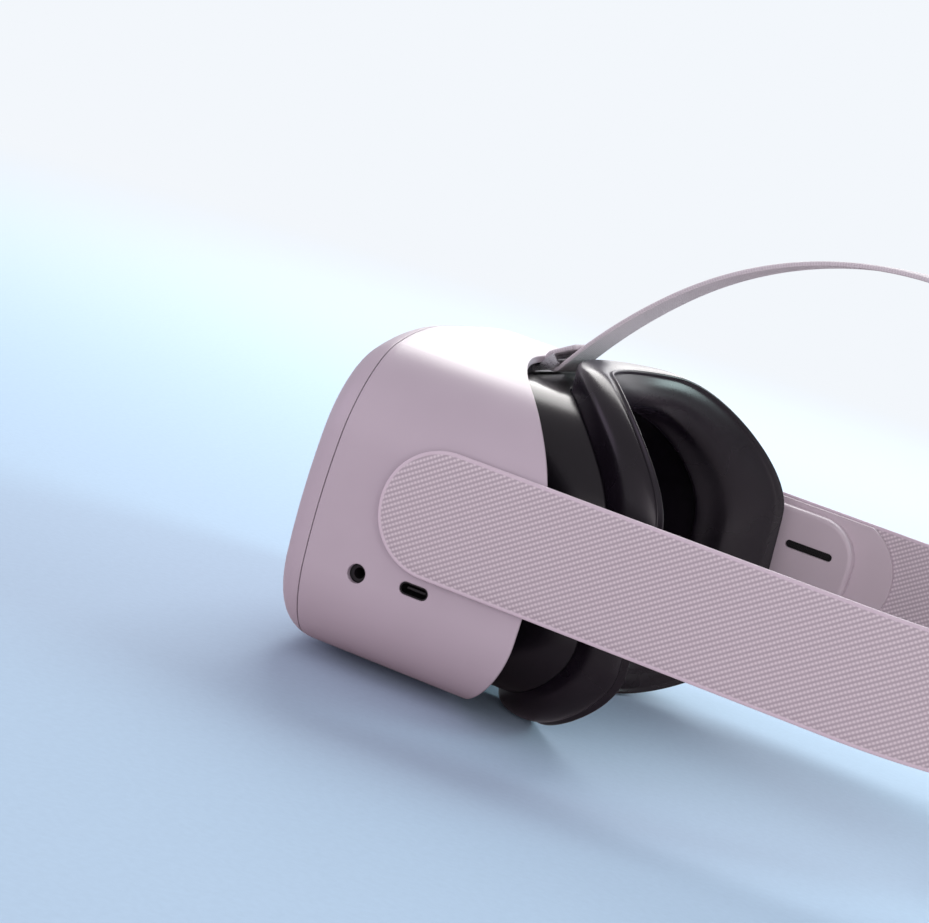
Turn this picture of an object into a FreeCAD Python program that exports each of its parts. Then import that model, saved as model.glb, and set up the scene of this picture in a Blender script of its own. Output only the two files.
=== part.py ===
"""A standalone head-worn display: a moulded housing with lenses and electronics inside, a pull-off
face cushion, two pivoting side arms with speakers, and a woven head strap with a strap over the top.

Millimetres. +Z is up, the visor faces -Y and the wearer's left is +X. Everything is built with the
visor's foremost point at y = 0 and moved at the end, so that the origin is the bottom centre of the
whole object's box.
"""
import FreeCAD
import Part
import math
import os

V = FreeCAD.Vector
AX, AY, AZ = V(1, 0, 0), V(0, 1, 0), V(0, 0, 1)

# ---------------------------------------------------------------- overall sizes
HOUSING_WIDTH = 182.0
HOUSING_HEIGHT = 110.0
OVERALL_DEPTH = 295.0        # visor's front to the back of the head strap
STRAP_HEIGHT = 41.0
STRAP_THICK = 2.4
STRAP_MID_Z = 61.0           # height of the side straps' centre line

# ---------------------------------------------------------------- housing
WALL = 2.2
SEAM = 0.25                  # visible gap between two shells
FIT = 0.15                   # clearance round a fixed piece
BOTTOM_FLAT_HALF = 15.0
TOP_FLAT_HALF = 20.0
BOTTOM_CROWN_R = 330.0
TOP_CROWN_R = 200.0
BOTTOM_CORNER_R = 28.0
TOP_CORNER_R = 32.0
FRONT_BULGE_R = 320.0        # the visor's curve seen from the side
FRONT_SWEEP_R = 500.0        # and seen from above
FRONT_FAN = 20.0             # degrees each side that the front's surface is swept through
NOSE_EDGE_R = 13.0           # rounding round the visor
COVER_DEPTH = 8.0            # the front cover's depth at its rim
LIP_THICK, LIP_REACH, LIP_CLEAR = 1.0, 2.0, 0.1   # the cover's lip inside the housing's wall
REAR_MID_Y = 55.5            # where the housing's back edge is on the middle line
REAR_SIDE_Y = 92.66          # the same, at its sides
REAR_BROW_Y = 45.5           # and on the middle line at the top
BEZEL_RECESS = 2.0
BEZEL_THICK = 2.4

SCREW_R, SCREW_HEAD_R, SCREW_HEAD, SCREW_X, SCREW_SINK = 1.0, 2.0, 1.2, 79.0, 2.6
SCREW_ZS, SCREW_LONG = (24.0, 90.0), 12.0
POST_IN_X, POST_FRONT_Y, POST_HALF = 75.0, 36.0, 4.0    # the posts that take the bezel's screws

# ---------------------------------------------------------------- face side
FACE_R = 80.0                # the face's curve seen from above
FRAME_TOP_Y = 59.0           # the face frame's back on the middle line, at its top
FRAME_BOTTOM_Y = 67.0        # the same, at its bottom
CUSHION_THICK = 13.0
FRAME_WALL = 3.0
FACE_GAP = 0.35              # between the pull-off face frame and the bezel
LATCH_WIDTH, LATCH_HEIGHT, LATCH_REACH = 9.0, 2.0, 5.5
LATCH_TOP_X, LATCH_LOW_X = 30.0, 37.0

# ---------------------------------------------------------------- arms and strap
HINGE_Y = 58.0
ARM_GAP = 0.4                # between the housing's side and the arm
ARM_THICK = 2.0
ARM_END_Y = 163.0
ARM_EDGE = 1.0               # the cloth stands this far past the arm's edge
POD_START_Y, POD_END_Y = 102.0, 148.0
POD_THICK, POD_HEIGHT, POD_CORNER_R, POD_WALL = 5.0, 35.0, 15.0, 1.4
SLOT_START_Y, SLOT_END_Y, SLOT_Z, SLOT_HEIGHT = 122.5, 140.5, 65.5, 2.8
PIN_R, PIN_RUN, PIN_SHANK, FLANGE_R, FLANGE_THICK = 4.0, 0.06, 8.0, 7.0, 2.0
FIRST_BEND_R, BEND_ANGLE = 70.0, 45.0
DIAGONAL = 44.0              # straight run that each slider rides on
BACK_TALL = 76.0             # the back panel's height on the middle line
BACK_HOLE_TALL, BACK_HOLE_HALF = 24.0, 38.0
SLIDER_LONG, SLIDER_BAR, SLIDER_CLEAR, SLIDER_TRAVEL = 13.0, 3.2, 0.35, 12.0
TOP_WIDTH, TOP_THICK = 25.0, 1.8
BAR_R, BAR_Y, BAR_Z, BAR_FOOT_Z = 1.6, 51.0, 110.0, 105.6
TOP_RISE, TOP_RISE_R, TOP_MID_HEADING, TOP_PEAK_R = 57.0, 175.0, 42.0, 122.0
TOP_FALL = 58.0

# ---------------------------------------------------------------- optics
EYE_HALF = 31.5              # half the distance between the lenses
EYE_Z = 60.0
EYE_TRAVEL = 2.5
LENS_R, BARREL_R, BARREL_WALL = 21.5, 23.5, 1.8
BARREL_FRONT_Y, BARREL_BACK_Y = 31.5, 57.0
RAIL_R, RAIL_RUN, RAIL_Y = 1.5, 0.05, 37.0
RAIL_LOW_Z, RAIL_HIGH_Z, RAIL_HALF = 24.0, 97.0, 66.0
COLLAR = 6.0
GEAR_MODULE, GEAR_TEETH, GEAR_Z, GEAR_Y, GEAR_THICK = 0.8, 12, 90.0, 40.6, 2.0
GEAR_BACKLASH = 0.16
SENSOR_Z, SENSOR_HALF, SENSOR_DEEP = 80.0, 2.0, 5.0   # the proximity sensor's window in the bezel
SPEAKER_HALF, SPEAKER_R, SPEAKER_THICK = 8.0, 6.0, 2.0
PRESSURE_ANGLE = math.radians(20)

# ---------------------------------------------------------------- inner stack, front to back
CELL_Y, CELL_THICK = 11.0, 7.0
SPREADER_Y, SPREADER_THICK = 18.6, 0.6
SHIELD_Y, SHIELD_THICK = 19.2, 2.0
BOARD_Y, BOARD_THICK = 21.2, 1.2
CHASSIS_Y, CHASSIS_THICK = 25.0, 1.5
PANEL_Y, PANEL_THICK = 26.6, 1.8
PANEL_WIDTH, PANEL_HEIGHT = 118.0, 56.0
FAN_R, FAN_HUB_R, FAN_BLADES = 15.0, 5.0, 11
FAN_X, FAN_Z = -32.0, 60.0
CAMERA_R, CAMERA_CLEAR, CAMERA_GLASS = 6.0, 0.2, 1.4
CAMERA_SPOTS = {"upper_left": (66.0, 86.0), "upper_right": (-66.0, 86.0),
                "lower_left": (58.0, 27.0), "lower_right": (-58.0, 27.0)}

# ---------------------------------------------------------------- ports and buttons
PORT_Y, PORT_Z, PORT_LONG, PORT_TALL, PORT_DEEP, PORT_SKIN = 56.0, 35.4, 9.0, 3.2, 9.0, 0.4
JACK_Y, JACK_Z, JACK_BORE_R, JACK_R, JACK_LONG = 36.0, 34.0, 1.8, 3.0, 14.0
JACK_SINK = 2.6              # the socket's face lies this far inside the housing's side
POWER_Y, POWER_Z, POWER_LONG, POWER_TALL = 52.0, 35.0, 11.0, 4.4
VOLUME_R, VOLUME_Y, VOLUME_XS = 3.2, 38.0, {"up": -20.0, "down": -32.0}
BUTTON_CLEAR, BUTTON_LIP, BUTTON_TRAVEL = 0.25, 1.2, 0.6

HALF_W = HOUSING_WIDTH / 2
REAR_SWEEP = REAR_SIDE_Y - REAR_MID_Y
REAR_CURVE_R = (HALF_W ** 2 + REAR_SWEEP ** 2) / (2 * REAR_SWEEP)    # that edge seen from above
FACE_TOP_Y, FACE_BOTTOM_Y = FRAME_TOP_Y + CUSHION_THICK, FRAME_BOTTOM_Y + CUSHION_THICK
JACK_FACE_X = HALF_W - JACK_SINK
ARM_IN = HALF_W + ARM_GAP
ARM_OUT = ARM_IN + ARM_THICK
STRAP_OUT = ARM_OUT + STRAP_THICK
STRAP_MID = ARM_OUT + STRAP_THICK / 2
STRAP_LOW, STRAP_HIGH = STRAP_MID_Z - STRAP_HEIGHT / 2, STRAP_MID_Z + STRAP_HEIGHT / 2
FAR = 400.0                  # a length past everything


# ---------------------------------------------------------------- drawing helpers
def box(x, y, z):
    """A block from three (low, high) pairs."""
    return Part.makeBox(x[1] - x[0], y[1] - y[0], z[1] - z[0], V(x[0], y[0], z[0]))


def rod(radius, start, along, length):
    return Part.makeCylinder(radius, length, V(*start), along)


def chain(start, heading, steps, side=0.0):
    """Tangent lines and arcs in a plane: steps are (length,) or (radius, turn in degrees, left positive).

    side moves the whole chain to its left, as a parallel curve. Returns the edges' end points, each
    with the arc's middle point, or None for a line."""
    (a, b), h = start, math.radians(heading)
    points, middles = [(a - side * math.sin(h), b + side * math.cos(h))], []
    for step in steps:
        if len(step) == 1:
            a, b = a + step[0] * math.cos(h), b + step[0] * math.sin(h)
            middles.append(None)
        else:
            radius, turn = step[0], math.radians(step[1])
            sense = 1 if turn > 0 else -1
            ca, cb = a - sense * radius * math.sin(h), b + sense * radius * math.cos(h)
            own = radius - sense * side
            mid = h + turn / 2
            middles.append((ca + sense * own * math.sin(mid), cb - sense * own * math.cos(mid)))
            h += turn
            a, b = ca + sense * radius * math.sin(h), cb - sense * radius * math.cos(h)
        points.append((a - side * math.sin(h), b + side * math.cos(h)))
    return points, middles, math.degrees(h)


def edges_of(points, middles, lift):
    """Edges through a chain's points; lift turns a plane point into a space point."""
    made = []
    for (p, q), mid in zip(zip(points, points[1:]), middles):
        if math.dist(p, q) < 1e-6:
            continue
        if mid is None:
            made.append(Part.LineSegment(lift(*p), lift(*q)).toShape())
        else:
            made.append(Part.Arc(lift(*p), lift(*mid), lift(*q)).toShape())
    return made


def front_view(x, z):
    return V(x, 0, z)


def plan_view(x, y):
    return V(x, y, 0)


def side_view(y, z):
    return V(0, y, z)


def mirrored_face(points, middles, lift):
    """A face from the right half of an outline, drawn from the bottom centre to the top centre."""
    half = edges_of(points, middles, lift)
    other = [e.mirror(V(), AX) for e in half]
    return Part.Face(Part.Wire(Part.__sortEdges__(half + other)))


def ribbon(start, heading, steps, thick, lift):
    """A face of constant thickness along a chain."""
    left, left_mid, _ = chain(start, heading, steps, thick / 2)
    right, right_mid, _ = chain(start, heading, steps, -thick / 2)
    made = edges_of(left, left_mid, lift) + edges_of(right, right_mid, lift)
    made.append(Part.LineSegment(lift(*left[0]), lift(*right[0])).toShape())
    made.append(Part.LineSegment(lift(*left[-1]), lift(*right[-1])).toShape())
    return Part.Face(Part.Wire(Part.__sortEdges__(made)))


def slot_face(half_long, radius, lift):
    """A face with two straight sides and round ends, long along the first axis."""
    ends = [(-half_long, -radius), (half_long, -radius), (half_long, radius), (-half_long, radius)]
    reach = half_long + radius
    made = [Part.LineSegment(lift(*ends[0]), lift(*ends[1])).toShape(),
            Part.Arc(lift(*ends[1]), lift(reach, 0), lift(*ends[2])).toShape(),
            Part.LineSegment(lift(*ends[2]), lift(*ends[3])).toShape(),
            Part.Arc(lift(*ends[3]), lift(-reach, 0), lift(*ends[0])).toShape()]
    return Part.Face(Part.Wire(made))


def fuse(first, *others):
    return first.multiFuse(list(others)).removeSplitter()


def flip(shape):
    """The same piece on the other side of the middle plane."""
    return shape.mirror(V(), AX)


# ---------------------------------------------------------------- housing surfaces
def housing_face(inset):
    """The housing's outline seen from the front, taken in evenly by inset."""
    low = math.asin((HALF_W - BOTTOM_FLAT_HALF - BOTTOM_CORNER_R) / (BOTTOM_CROWN_R - BOTTOM_CORNER_R))
    high = math.asin((HALF_W - TOP_FLAT_HALF - TOP_CORNER_R) / (TOP_CROWN_R - TOP_CORNER_R))
    low_rise = BOTTOM_CROWN_R * (1 - math.cos(low)) + BOTTOM_CORNER_R * math.cos(low)
    high_drop = TOP_CROWN_R * (1 - math.cos(high)) + TOP_CORNER_R * math.cos(high)
    low, high = math.degrees(low), math.degrees(high)
    steps = [(BOTTOM_FLAT_HALF,), (BOTTOM_CROWN_R - inset, low), (BOTTOM_CORNER_R - inset, 90 - low),
             (HOUSING_HEIGHT - low_rise - high_drop,), (TOP_CORNER_R - inset, 90 - high),
             (TOP_CROWN_R - inset, high), (TOP_FLAT_HALF,)]
    points, middles, _ = chain((0, inset), 0, steps)
    return mirrored_face(points, middles, front_view)


def front_form(inset):
    """Everything behind the visor's doubly curved front, taken in by inset."""
    mid, half, back = HOUSING_HEIGHT / 2, HOUSING_HEIGHT / 2 + 10, 200.0
    radius = FRONT_BULGE_R - inset
    rim = FRONT_BULGE_R - math.sqrt(radius ** 2 - half ** 2)
    low, nose, high = V(0, rim, mid - half), V(0, inset, mid), V(0, rim, mid + half)
    edges = [Part.Arc(low, nose, high).toShape(),
             Part.LineSegment(high, V(0, back, mid + half)).toShape(),
             Part.LineSegment(V(0, back, mid + half), V(0, back, mid - half)).toShape(),
             Part.LineSegment(V(0, back, mid - half), low).toShape()]
    section = Part.Face(Part.Wire(edges))
    section.rotate(V(0, FRONT_SWEEP_R, 0), AZ, -FRONT_FAN)
    return section.revolve(V(0, FRONT_SWEEP_R, 0), AZ, 2 * FRONT_FAN)


def pillow(inset):
    """The housing's solid form before its back is cut, taken in evenly by inset."""
    prism = housing_face(inset).extrude(V(0, 130, 0))
    form = prism.common(front_form(inset)).Solids[0]
    rim = [e for e in form.Edges if e.BoundBox.YMax < 60]
    return form.makeFillet(NOSE_EDGE_R - inset, rim)


def behind(radius, levels, half, shift=0.0):
    """The space behind a sheet that is curved in plan; levels are (z, y on the middle line)."""
    sag = radius - math.sqrt(radius ** 2 - half ** 2)
    slabs = []
    for (z, y), (next_z, next_y) in zip(levels, levels[1:]):
        y += shift
        left, mid, right = V(-half, y + sag, z), V(0, y, z), V(half, y + sag, z)
        back_right, back_left = V(half, FAR, z), V(-half, FAR, z)
        edges = [Part.Arc(left, mid, right).toShape(), Part.LineSegment(right, back_right).toShape(),
                 Part.LineSegment(back_right, back_left).toShape(),
                 Part.LineSegment(back_left, left).toShape()]
        slabs.append(Part.Face(Part.Wire(edges)).extrude(V(0, next_y + shift - y, next_z - z)))
    return slabs[0] if len(slabs) == 1 else fuse(*slabs)


def behind_housing(shift=0.0):
    mid = HOUSING_HEIGHT / 2
    slope = (REAR_BROW_Y - REAR_MID_Y) / (HOUSING_HEIGHT - mid)
    levels = [(-20, REAR_MID_Y), (mid, REAR_MID_Y), (HOUSING_HEIGHT + 20, REAR_BROW_Y + slope * 20)]
    return behind(REAR_CURVE_R, levels, min(HALF_W + 20, REAR_CURVE_R - 5), shift)


def behind_face(shift=0.0):
    slope = (FACE_TOP_Y - FACE_BOTTOM_Y) / CUSHION["top"]
    levels = [(-20, FACE_BOTTOM_Y - slope * 20), (CUSHION["top"] + 20, FACE_TOP_Y + slope * 20)]
    return behind(FACE_R, levels, FACE_R - 2, shift)


# ---------------------------------------------------------------- face outlines
# Seen from the front: half width, top and bottom heights, corner radii, and the notch for the nose.
CUSHION = dict(half=73.0, top=114.0, bottom=0.0, top_r=38.0, bottom_r=32.0, nose_top=40.0,
               nose_r=12.0, lobe_r=13.0)
CUSHION_HOLE = dict(half=62.0, top=97.0, bottom=15.0, top_r=34.0, bottom_r=22.0, nose_top=53.0,
                    nose_r=20.0, lobe_r=9.0)
FRAME = dict(half=70.0, top=104.0, bottom=6.5, top_r=35.0, bottom_r=28.0, nose_top=43.0,
             nose_r=13.0, lobe_r=11.0)
NOSE_SLANT = 65.0


def goggle(spec, inset=0.0):
    """A closed outline like a diving mask's, taken in evenly by inset."""
    slant = math.radians(NOSE_SLANT)
    nose_r, lobe_r = spec["nose_r"] + inset, spec["lobe_r"] - inset
    drop = spec["nose_top"] - spec["bottom"]
    flank = (drop - (nose_r + lobe_r) * (1 - math.cos(slant))) / math.sin(slant)
    reach = (nose_r + lobe_r) * math.sin(slant) + flank * math.cos(slant)
    side = spec["top"] - spec["bottom"] - spec["top_r"] - spec["bottom_r"]
    steps = [(nose_r, -NOSE_SLANT), (flank,), (lobe_r, NOSE_SLANT),
             (spec["half"] - spec["bottom_r"] - reach,), (spec["bottom_r"] - inset, 90), (side,),
             (spec["top_r"] - inset, 90), (spec["half"] - spec["top_r"],)]
    points, middles, _ = chain((0, spec["nose_top"] + inset), 0, steps)
    return mirrored_face(points, middles, front_view).extrude(V(0, FAR / 2, 0))


# ---------------------------------------------------------------- housing and what is fixed in it
def shells():
    outer, inner = pillow(0), pillow(WALL)
    shell = outer.cut(inner).cut(behind_housing())
    lip = pillow(WALL - LIP_THICK).cut(inner).common(front_form(COVER_DEPTH - LIP_THICK))
    lip = lip.cut(front_form(COVER_DEPTH + SEAM + LIP_REACH))
    cover = fuse(shell.cut(front_form(COVER_DEPTH)), lip)
    rebate = pillow(WALL - LIP_THICK - LIP_CLEAR).cut(front_form(COVER_DEPTH + SEAM + LIP_REACH + LIP_CLEAR))
    body = shell.common(front_form(COVER_DEPTH + SEAM)).cut(rebate)
    for x in (1, -1):
        for z in SCREW_ZS:
            across = sorted((x * POST_IN_X, x * HALF_W))
            post = box(across, (POST_FRONT_Y, FAR), (z - POST_HALF, z + POST_HALF))
            post = post.common(pillow(WALL / 2)).cut(behind_housing(-BEZEL_RECESS - BEZEL_THICK - FIT))
            body = fuse(body, post)
            head_y = bezel_back_y(SCREW_X, z) - SCREW_SINK - SCREW_HEAD
            body = body.cut(rod(SCREW_R, (x * SCREW_X, head_y - SCREW_LONG, z), AY, FAR))
            body = body.cut(rod(SCREW_HEAD_R + FIT, (x * SCREW_X, head_y, z), AY, FAR))
        body = body.cut(rod(PIN_R + PIN_RUN, (x * (HALF_W - PIN_SHANK), HINGE_Y, STRAP_MID_Z), AX * x, FAR))
    return cover, body, outer




def screws():
    """Four countersunk screws that hold the bezel to the housing's posts."""
    made = []
    for x in (SCREW_X, -SCREW_X):
        for z in SCREW_ZS:
            y = bezel_back_y(x, z)
            shank = rod(SCREW_R - 0.02, (x, y - SCREW_LONG, z), AY, SCREW_LONG)
            made.append(shank.fuse(rod(SCREW_HEAD_R, (x, y - SCREW_SINK - SCREW_HEAD, z), AY, SCREW_HEAD)))
    return Part.makeCompound(made)


def bezel_back_y(x, z):
    mid = HOUSING_HEIGHT / 2
    base = REAR_MID_Y + max(0.0, z - mid) * (REAR_BROW_Y - REAR_MID_Y) / (HOUSING_HEIGHT - mid)
    return base + REAR_CURVE_R - math.sqrt(REAR_CURVE_R ** 2 - x ** 2) - BEZEL_RECESS


def latch_boxes(clear, from_y=-LATCH_REACH, to_y=6.0):
    """Where the face frame's latches enter the bezel."""
    made = []
    levels = ((LATCH_TOP_X, FRAME["top"] - FRAME_WALL / 2), (LATCH_LOW_X, FRAME["bottom"] + FRAME_WALL / 2))
    for half, z in levels:
        for x in (half, -half):
            y = bezel_back_y(x, z)
            made.append(box((x - LATCH_WIDTH / 2 - clear, x + LATCH_WIDTH / 2 + clear),
                            (y + from_y - clear, y + to_y),
                            (z - LATCH_HEIGHT / 2 - clear, z + LATCH_HEIGHT / 2 + clear)))
    return made


def bezel():
    """The black plate that closes the housing's back, with a hole for each lens barrel."""
    plate = housing_face(WALL + FIT).extrude(V(0, 130, 0))
    plate = plate.common(behind_housing(-BEZEL_RECESS - BEZEL_THICK)).cut(behind_housing(-BEZEL_RECESS))
    for x in (EYE_HALF, -EYE_HALF):
        hole = slot_face(EYE_TRAVEL + 0.3, BARREL_R + 0.6, front_view).extrude(V(0, FAR, 0))
        hole.translate(V(x, 0, EYE_Z))
        plate = plate.cut(hole)
    for x in (SCREW_X, -SCREW_X):
        for z in SCREW_ZS:
            y = bezel_back_y(x, z)
            plate = plate.cut(rod(SCREW_R + FIT, (x, y - SCREW_LONG, z), AY, FAR))
            plate = plate.cut(rod(SCREW_HEAD_R + FIT, (x, y - SCREW_SINK - SCREW_HEAD, z), AY, FAR))
    for pocket in latch_boxes(0.4, from_y=-LATCH_REACH - 2):
        plate = plate.cut(pocket)
    window = slot_face(SENSOR_HALF, SENSOR_HALF, front_view).extrude(V(0, FAR, 0))
    window.translate(V(0, 0, SENSOR_Z))
    return plate.cut(window)


def proximity_sensor():
    y = bezel_back_y(0, SENSOR_Z) - SENSOR_DEEP
    lens = slot_face(SENSOR_HALF, SENSOR_HALF - FIT, front_view).extrude(V(0, SENSOR_DEEP, 0))
    lens.translate(V(0, y, SENSOR_Z))
    return fuse(lens, box((-SENSOR_DEEP, SENSOR_DEEP), (y - 1, y), (SENSOR_Z - 3, SENSOR_Z + 3)))


def camera(outer_form, x, z):
    """A tracking camera: a window flush with the visor, and the module behind it."""
    barrel = rod(CAMERA_R - CAMERA_CLEAR, (x, -5, z), AY, 60)
    window = barrel.common(outer_form).cut(front_glass_back())
    back = max(p.y for p in window.tessellate(0.3)[0])
    module = rod(CAMERA_R - 1.6, (x, back + 0.1, z), AY, 5)
    module = fuse(module, box((x - 5, x + 5), (back + 5.1, back + 6.3), (z - 5, z + 5)))
    return window, module


def front_glass_back():
    return pillow(CAMERA_GLASS)


def chassis():
    """The mid frame: a plate across the housing with blocks that hold the lens rails' ends."""
    plate = box((-FAR, FAR), (CHASSIS_Y, CHASSIS_Y + CHASSIS_THICK), (-FAR, FAR))
    plate = pillow(WALL + 0.4).common(plate)
    back = CHASSIS_Y + CHASSIS_THICK
    for x in (1, -1):
        for z in (RAIL_LOW_Z, RAIL_HIGH_Z):
            block = box(sorted((x * (RAIL_HALF - 3), x * (RAIL_HALF + 3))), (back, RAIL_Y + 3),
                        (z - 3.5, z + 3.5))
            plate = fuse(plate, block)
            plate = plate.cut(rod(RAIL_R + 0.02, (x * (RAIL_HALF - 5), RAIL_Y, z), AX * x, 12))
        window = box(sorted((x * 20.0, x * 52.0)), (CHASSIS_Y - 1, back + 1), (EYE_Z - 20, EYE_Z + 20))
        plate = plate.cut(window)
    stud = rod(1.2 - PIN_RUN, (0, back, GEAR_Z), AY, GEAR_Y + GEAR_THICK - back)
    return fuse(plate, stud)


def rails():
    """Two ground steel rods that the lens carriers slide on."""
    return [rod(RAIL_R, (-RAIL_HALF - 2, RAIL_Y, z), AX, 2 * RAIL_HALF + 4)
            for z in (RAIL_LOW_Z, RAIL_HIGH_Z)]


def inner_stack():
    """Cell, heat spreader, shield can, circuit board and display, from front to back."""
    cell = box((6, 58), (CELL_Y, CELL_Y + CELL_THICK), (EYE_Z - 19, EYE_Z + 21))
    cell = cell.makeFillet(1.5, cell.Edges)
    spreader = box((-56, 2), (SPREADER_Y, SPREADER_Y + SPREADER_THICK), (EYE_Z - 26, EYE_Z + 26))
    shield = box((-50, -8), (SHIELD_Y, SHIELD_Y + SHIELD_THICK), (EYE_Z - 22, EYE_Z + 22))
    board = box((-60, 60), (BOARD_Y, BOARD_Y + BOARD_THICK), (EYE_Z - 28, EYE_Z + 28))
    panel = box((-PANEL_WIDTH / 2, PANEL_WIDTH / 2), (PANEL_Y, PANEL_Y + PANEL_THICK),
                (EYE_Z - PANEL_HEIGHT / 2, EYE_Z + PANEL_HEIGHT / 2))
    return {"battery_cell": cell, "heat_spreader": spreader, "processor_shield": shield,
            "main_board": board, "display_panel": panel}


def fan():
    """A flat blower: an open-fronted casing and a bladed rotor on a pin."""
    front, back = CELL_Y, CELL_Y + CELL_THICK
    case = rod(FAN_R + 1.5, (FAN_X, front, FAN_Z), AY, CELL_THICK)
    case = fuse(case, box((FAN_X - 8, FAN_X + 8), (front, back), (FAN_Z, FAN_Z + FAN_R + 8)))
    case = case.cut(rod(FAN_R + 0.6, (FAN_X, front + 0.8, FAN_Z), AY, CELL_THICK - 1.6))
    case = case.cut(rod(FAN_R * 0.6, (FAN_X, front - 1, FAN_Z), AY, 3))
    case = case.cut(box((FAN_X - 7, FAN_X + 7), (front + 0.8, back - 0.8), (FAN_Z, FAN_Z + FAN_R + 9)))
    case = fuse(case, rod(0.8, (FAN_X, back - 4, FAN_Z), AY, 3.6))
    hub = rod(FAN_HUB_R, (FAN_X, front + 1.2, FAN_Z), AY, CELL_THICK - 2.4)
    blades = []
    for i in range(FAN_BLADES):
        blade = box((-0.4, 0.4), (front + 1.4, back - 1.4), (FAN_HUB_R - 0.5, FAN_R - 0.4))
        blade.rotate(V(0, 0, FAN_HUB_R), AY, 28)
        blade.rotate(V(), AY, i * 360 / FAN_BLADES)
        blade.translate(V(FAN_X, 0, FAN_Z))
        blades.append(blade)
    rotor = fuse(hub, *blades)
    return case, rotor.cut(rod(0.8 + PIN_RUN, (FAN_X, front, FAN_Z), AY, CELL_THICK))


# ---------------------------------------------------------------- lens carriers and their gear
def gear_face(teeth, module, thin):
    """A spur gear's outline about the origin, with each tooth thinned by thin."""
    pitch, base = module * teeth / 2, module * teeth / 2 * math.cos(PRESSURE_ANGLE)
    tip, root = pitch + module, pitch - 1.25 * module
    inv = math.tan(PRESSURE_ANGLE) - PRESSURE_ANGLE
    half = (math.pi * module / 2 - thin) / (2 * pitch) + inv
    flank = []
    for i in range(5):
        r = base + (tip - base) * i / 4
        a = math.acos(min(1.0, base / r))
        flank.append((r, half - (math.tan(a) - a)))
    points = []
    for k in range(teeth):
        mid = 2 * math.pi * k / teeth
        points += [(root, mid - flank[0][1])] + [(r, mid - a) for r, a in flank]
        points += [(r, mid + a) for r, a in reversed(flank)] + [(root, mid + flank[0][1])]
    spots = [V(r * math.cos(a), 0, r * math.sin(a)) for r, a in points]
    return Part.Face(Part.makePolygon(spots + [spots[0]]))


def rack(direction, x_low, x_high):
    """A toothed bar across the gear: direction is 1 above the gear and -1 below it."""
    pitch_z = GEAR_MODULE * GEAR_TEETH / 2
    step = math.pi * GEAR_MODULE
    lean = math.tan(PRESSURE_ANGLE)
    points = [(x_low, pitch_z + GEAR_MODULE + 2.2)]
    first, last = math.ceil(x_low / step + 0.5), math.floor(x_high / step - 0.5)
    # A gap of the bar faces the gear's tooth at x = 0.
    for k in range(first, last):
        centre = (k + 0.5) * step
        half = (step / 2 - GEAR_BACKLASH) / 2
        tip_half, foot_half = half - GEAR_MODULE * lean, half + 1.25 * GEAR_MODULE * lean
        foot, tip = pitch_z + 1.25 * GEAR_MODULE, pitch_z - GEAR_MODULE
        if not points[1:]:
            points.append((x_low, foot))
        points += [(centre - foot_half, foot), (centre - tip_half, tip), (centre + tip_half, tip),
                   (centre + foot_half, foot)]
    points += [(x_high, pitch_z + 1.25 * GEAR_MODULE), (x_high, pitch_z + GEAR_MODULE + 2.2)]
    spots = [V(x, GEAR_Y, GEAR_Z + direction * z) for x, z in points]
    return Part.Face(Part.makePolygon(spots + [spots[0]])).extrude(V(0, GEAR_THICK, 0))


def pinion():
    face = gear_face(GEAR_TEETH, GEAR_MODULE, GEAR_BACKLASH)
    gear = face.extrude(V(0, GEAR_THICK - 0.4, 0))
    gear.rotate(V(), AY, 90)
    gear.translate(V(0, GEAR_Y + 0.2, GEAR_Z))
    return gear.cut(rod(1.2, (0, GEAR_Y - 1, GEAR_Z), AY, GEAR_THICK + 2))


def lens_carrier(side):
    """A barrel with collars on both rails and a rack that reaches over, or under, the gear."""
    x = side * EYE_HALF
    barrel = rod(BARREL_R, (x, BARREL_FRONT_Y, EYE_Z), AY, BARREL_BACK_Y - BARREL_FRONT_Y)
    web = box((x - COLLAR, x + COLLAR), (RAIL_Y - 3, RAIL_Y + 3), (RAIL_LOW_Z - 3.5, RAIL_HIGH_Z + 3.5))
    barrel = fuse(barrel, web)
    bar_z = GEAR_Z + side * (GEAR_MODULE * GEAR_TEETH / 2 + GEAR_MODULE + 1.1)
    reach = rack(side, *sorted((-side * 9.5, side * 21.0)))
    arm = box(sorted((side * 20.5, side * (EYE_HALF + 2))), (GEAR_Y, GEAR_Y + GEAR_THICK),
              (bar_z - 1.1, bar_z + 1.1))
    foot = box(sorted((side * (EYE_HALF - 4), side * (EYE_HALF + 2))), (RAIL_Y + 3, GEAR_Y + GEAR_THICK),
               (EYE_Z + BARREL_R - 3, bar_z + 1.1))
    barrel = fuse(barrel, reach, arm, foot)
    barrel = barrel.cut(rod(BARREL_R - BARREL_WALL, (x, BARREL_FRONT_Y - 1, EYE_Z), AY,
                            BARREL_BACK_Y - BARREL_FRONT_Y + 2))
    for z in (RAIL_LOW_Z, RAIL_HIGH_Z):
        barrel = barrel.cut(rod(RAIL_R + RAIL_RUN, (x - 20, RAIL_Y, z), AX, 40))
    seat = rod(BARREL_R - BARREL_WALL + 0.01, (x, BARREL_BACK_Y - 7.5, EYE_Z), AY, 1.0)
    seat = seat.cut(rod(LENS_R - 1.2, (x, BARREL_BACK_Y - 9, EYE_Z), AY, 4))
    return fuse(barrel, seat)


def lens(side):
    """A plano-convex lens with its domed side towards the eye."""
    y, dome = BARREL_BACK_Y - 6.5, 46.0
    disc = rod(LENS_R, (side * EYE_HALF, y, EYE_Z), AY, 6.2)
    ball = Part.makeSphere(dome, V(side * EYE_HALF, y + 6.0 - dome, EYE_Z))
    return disc.common(ball)


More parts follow.
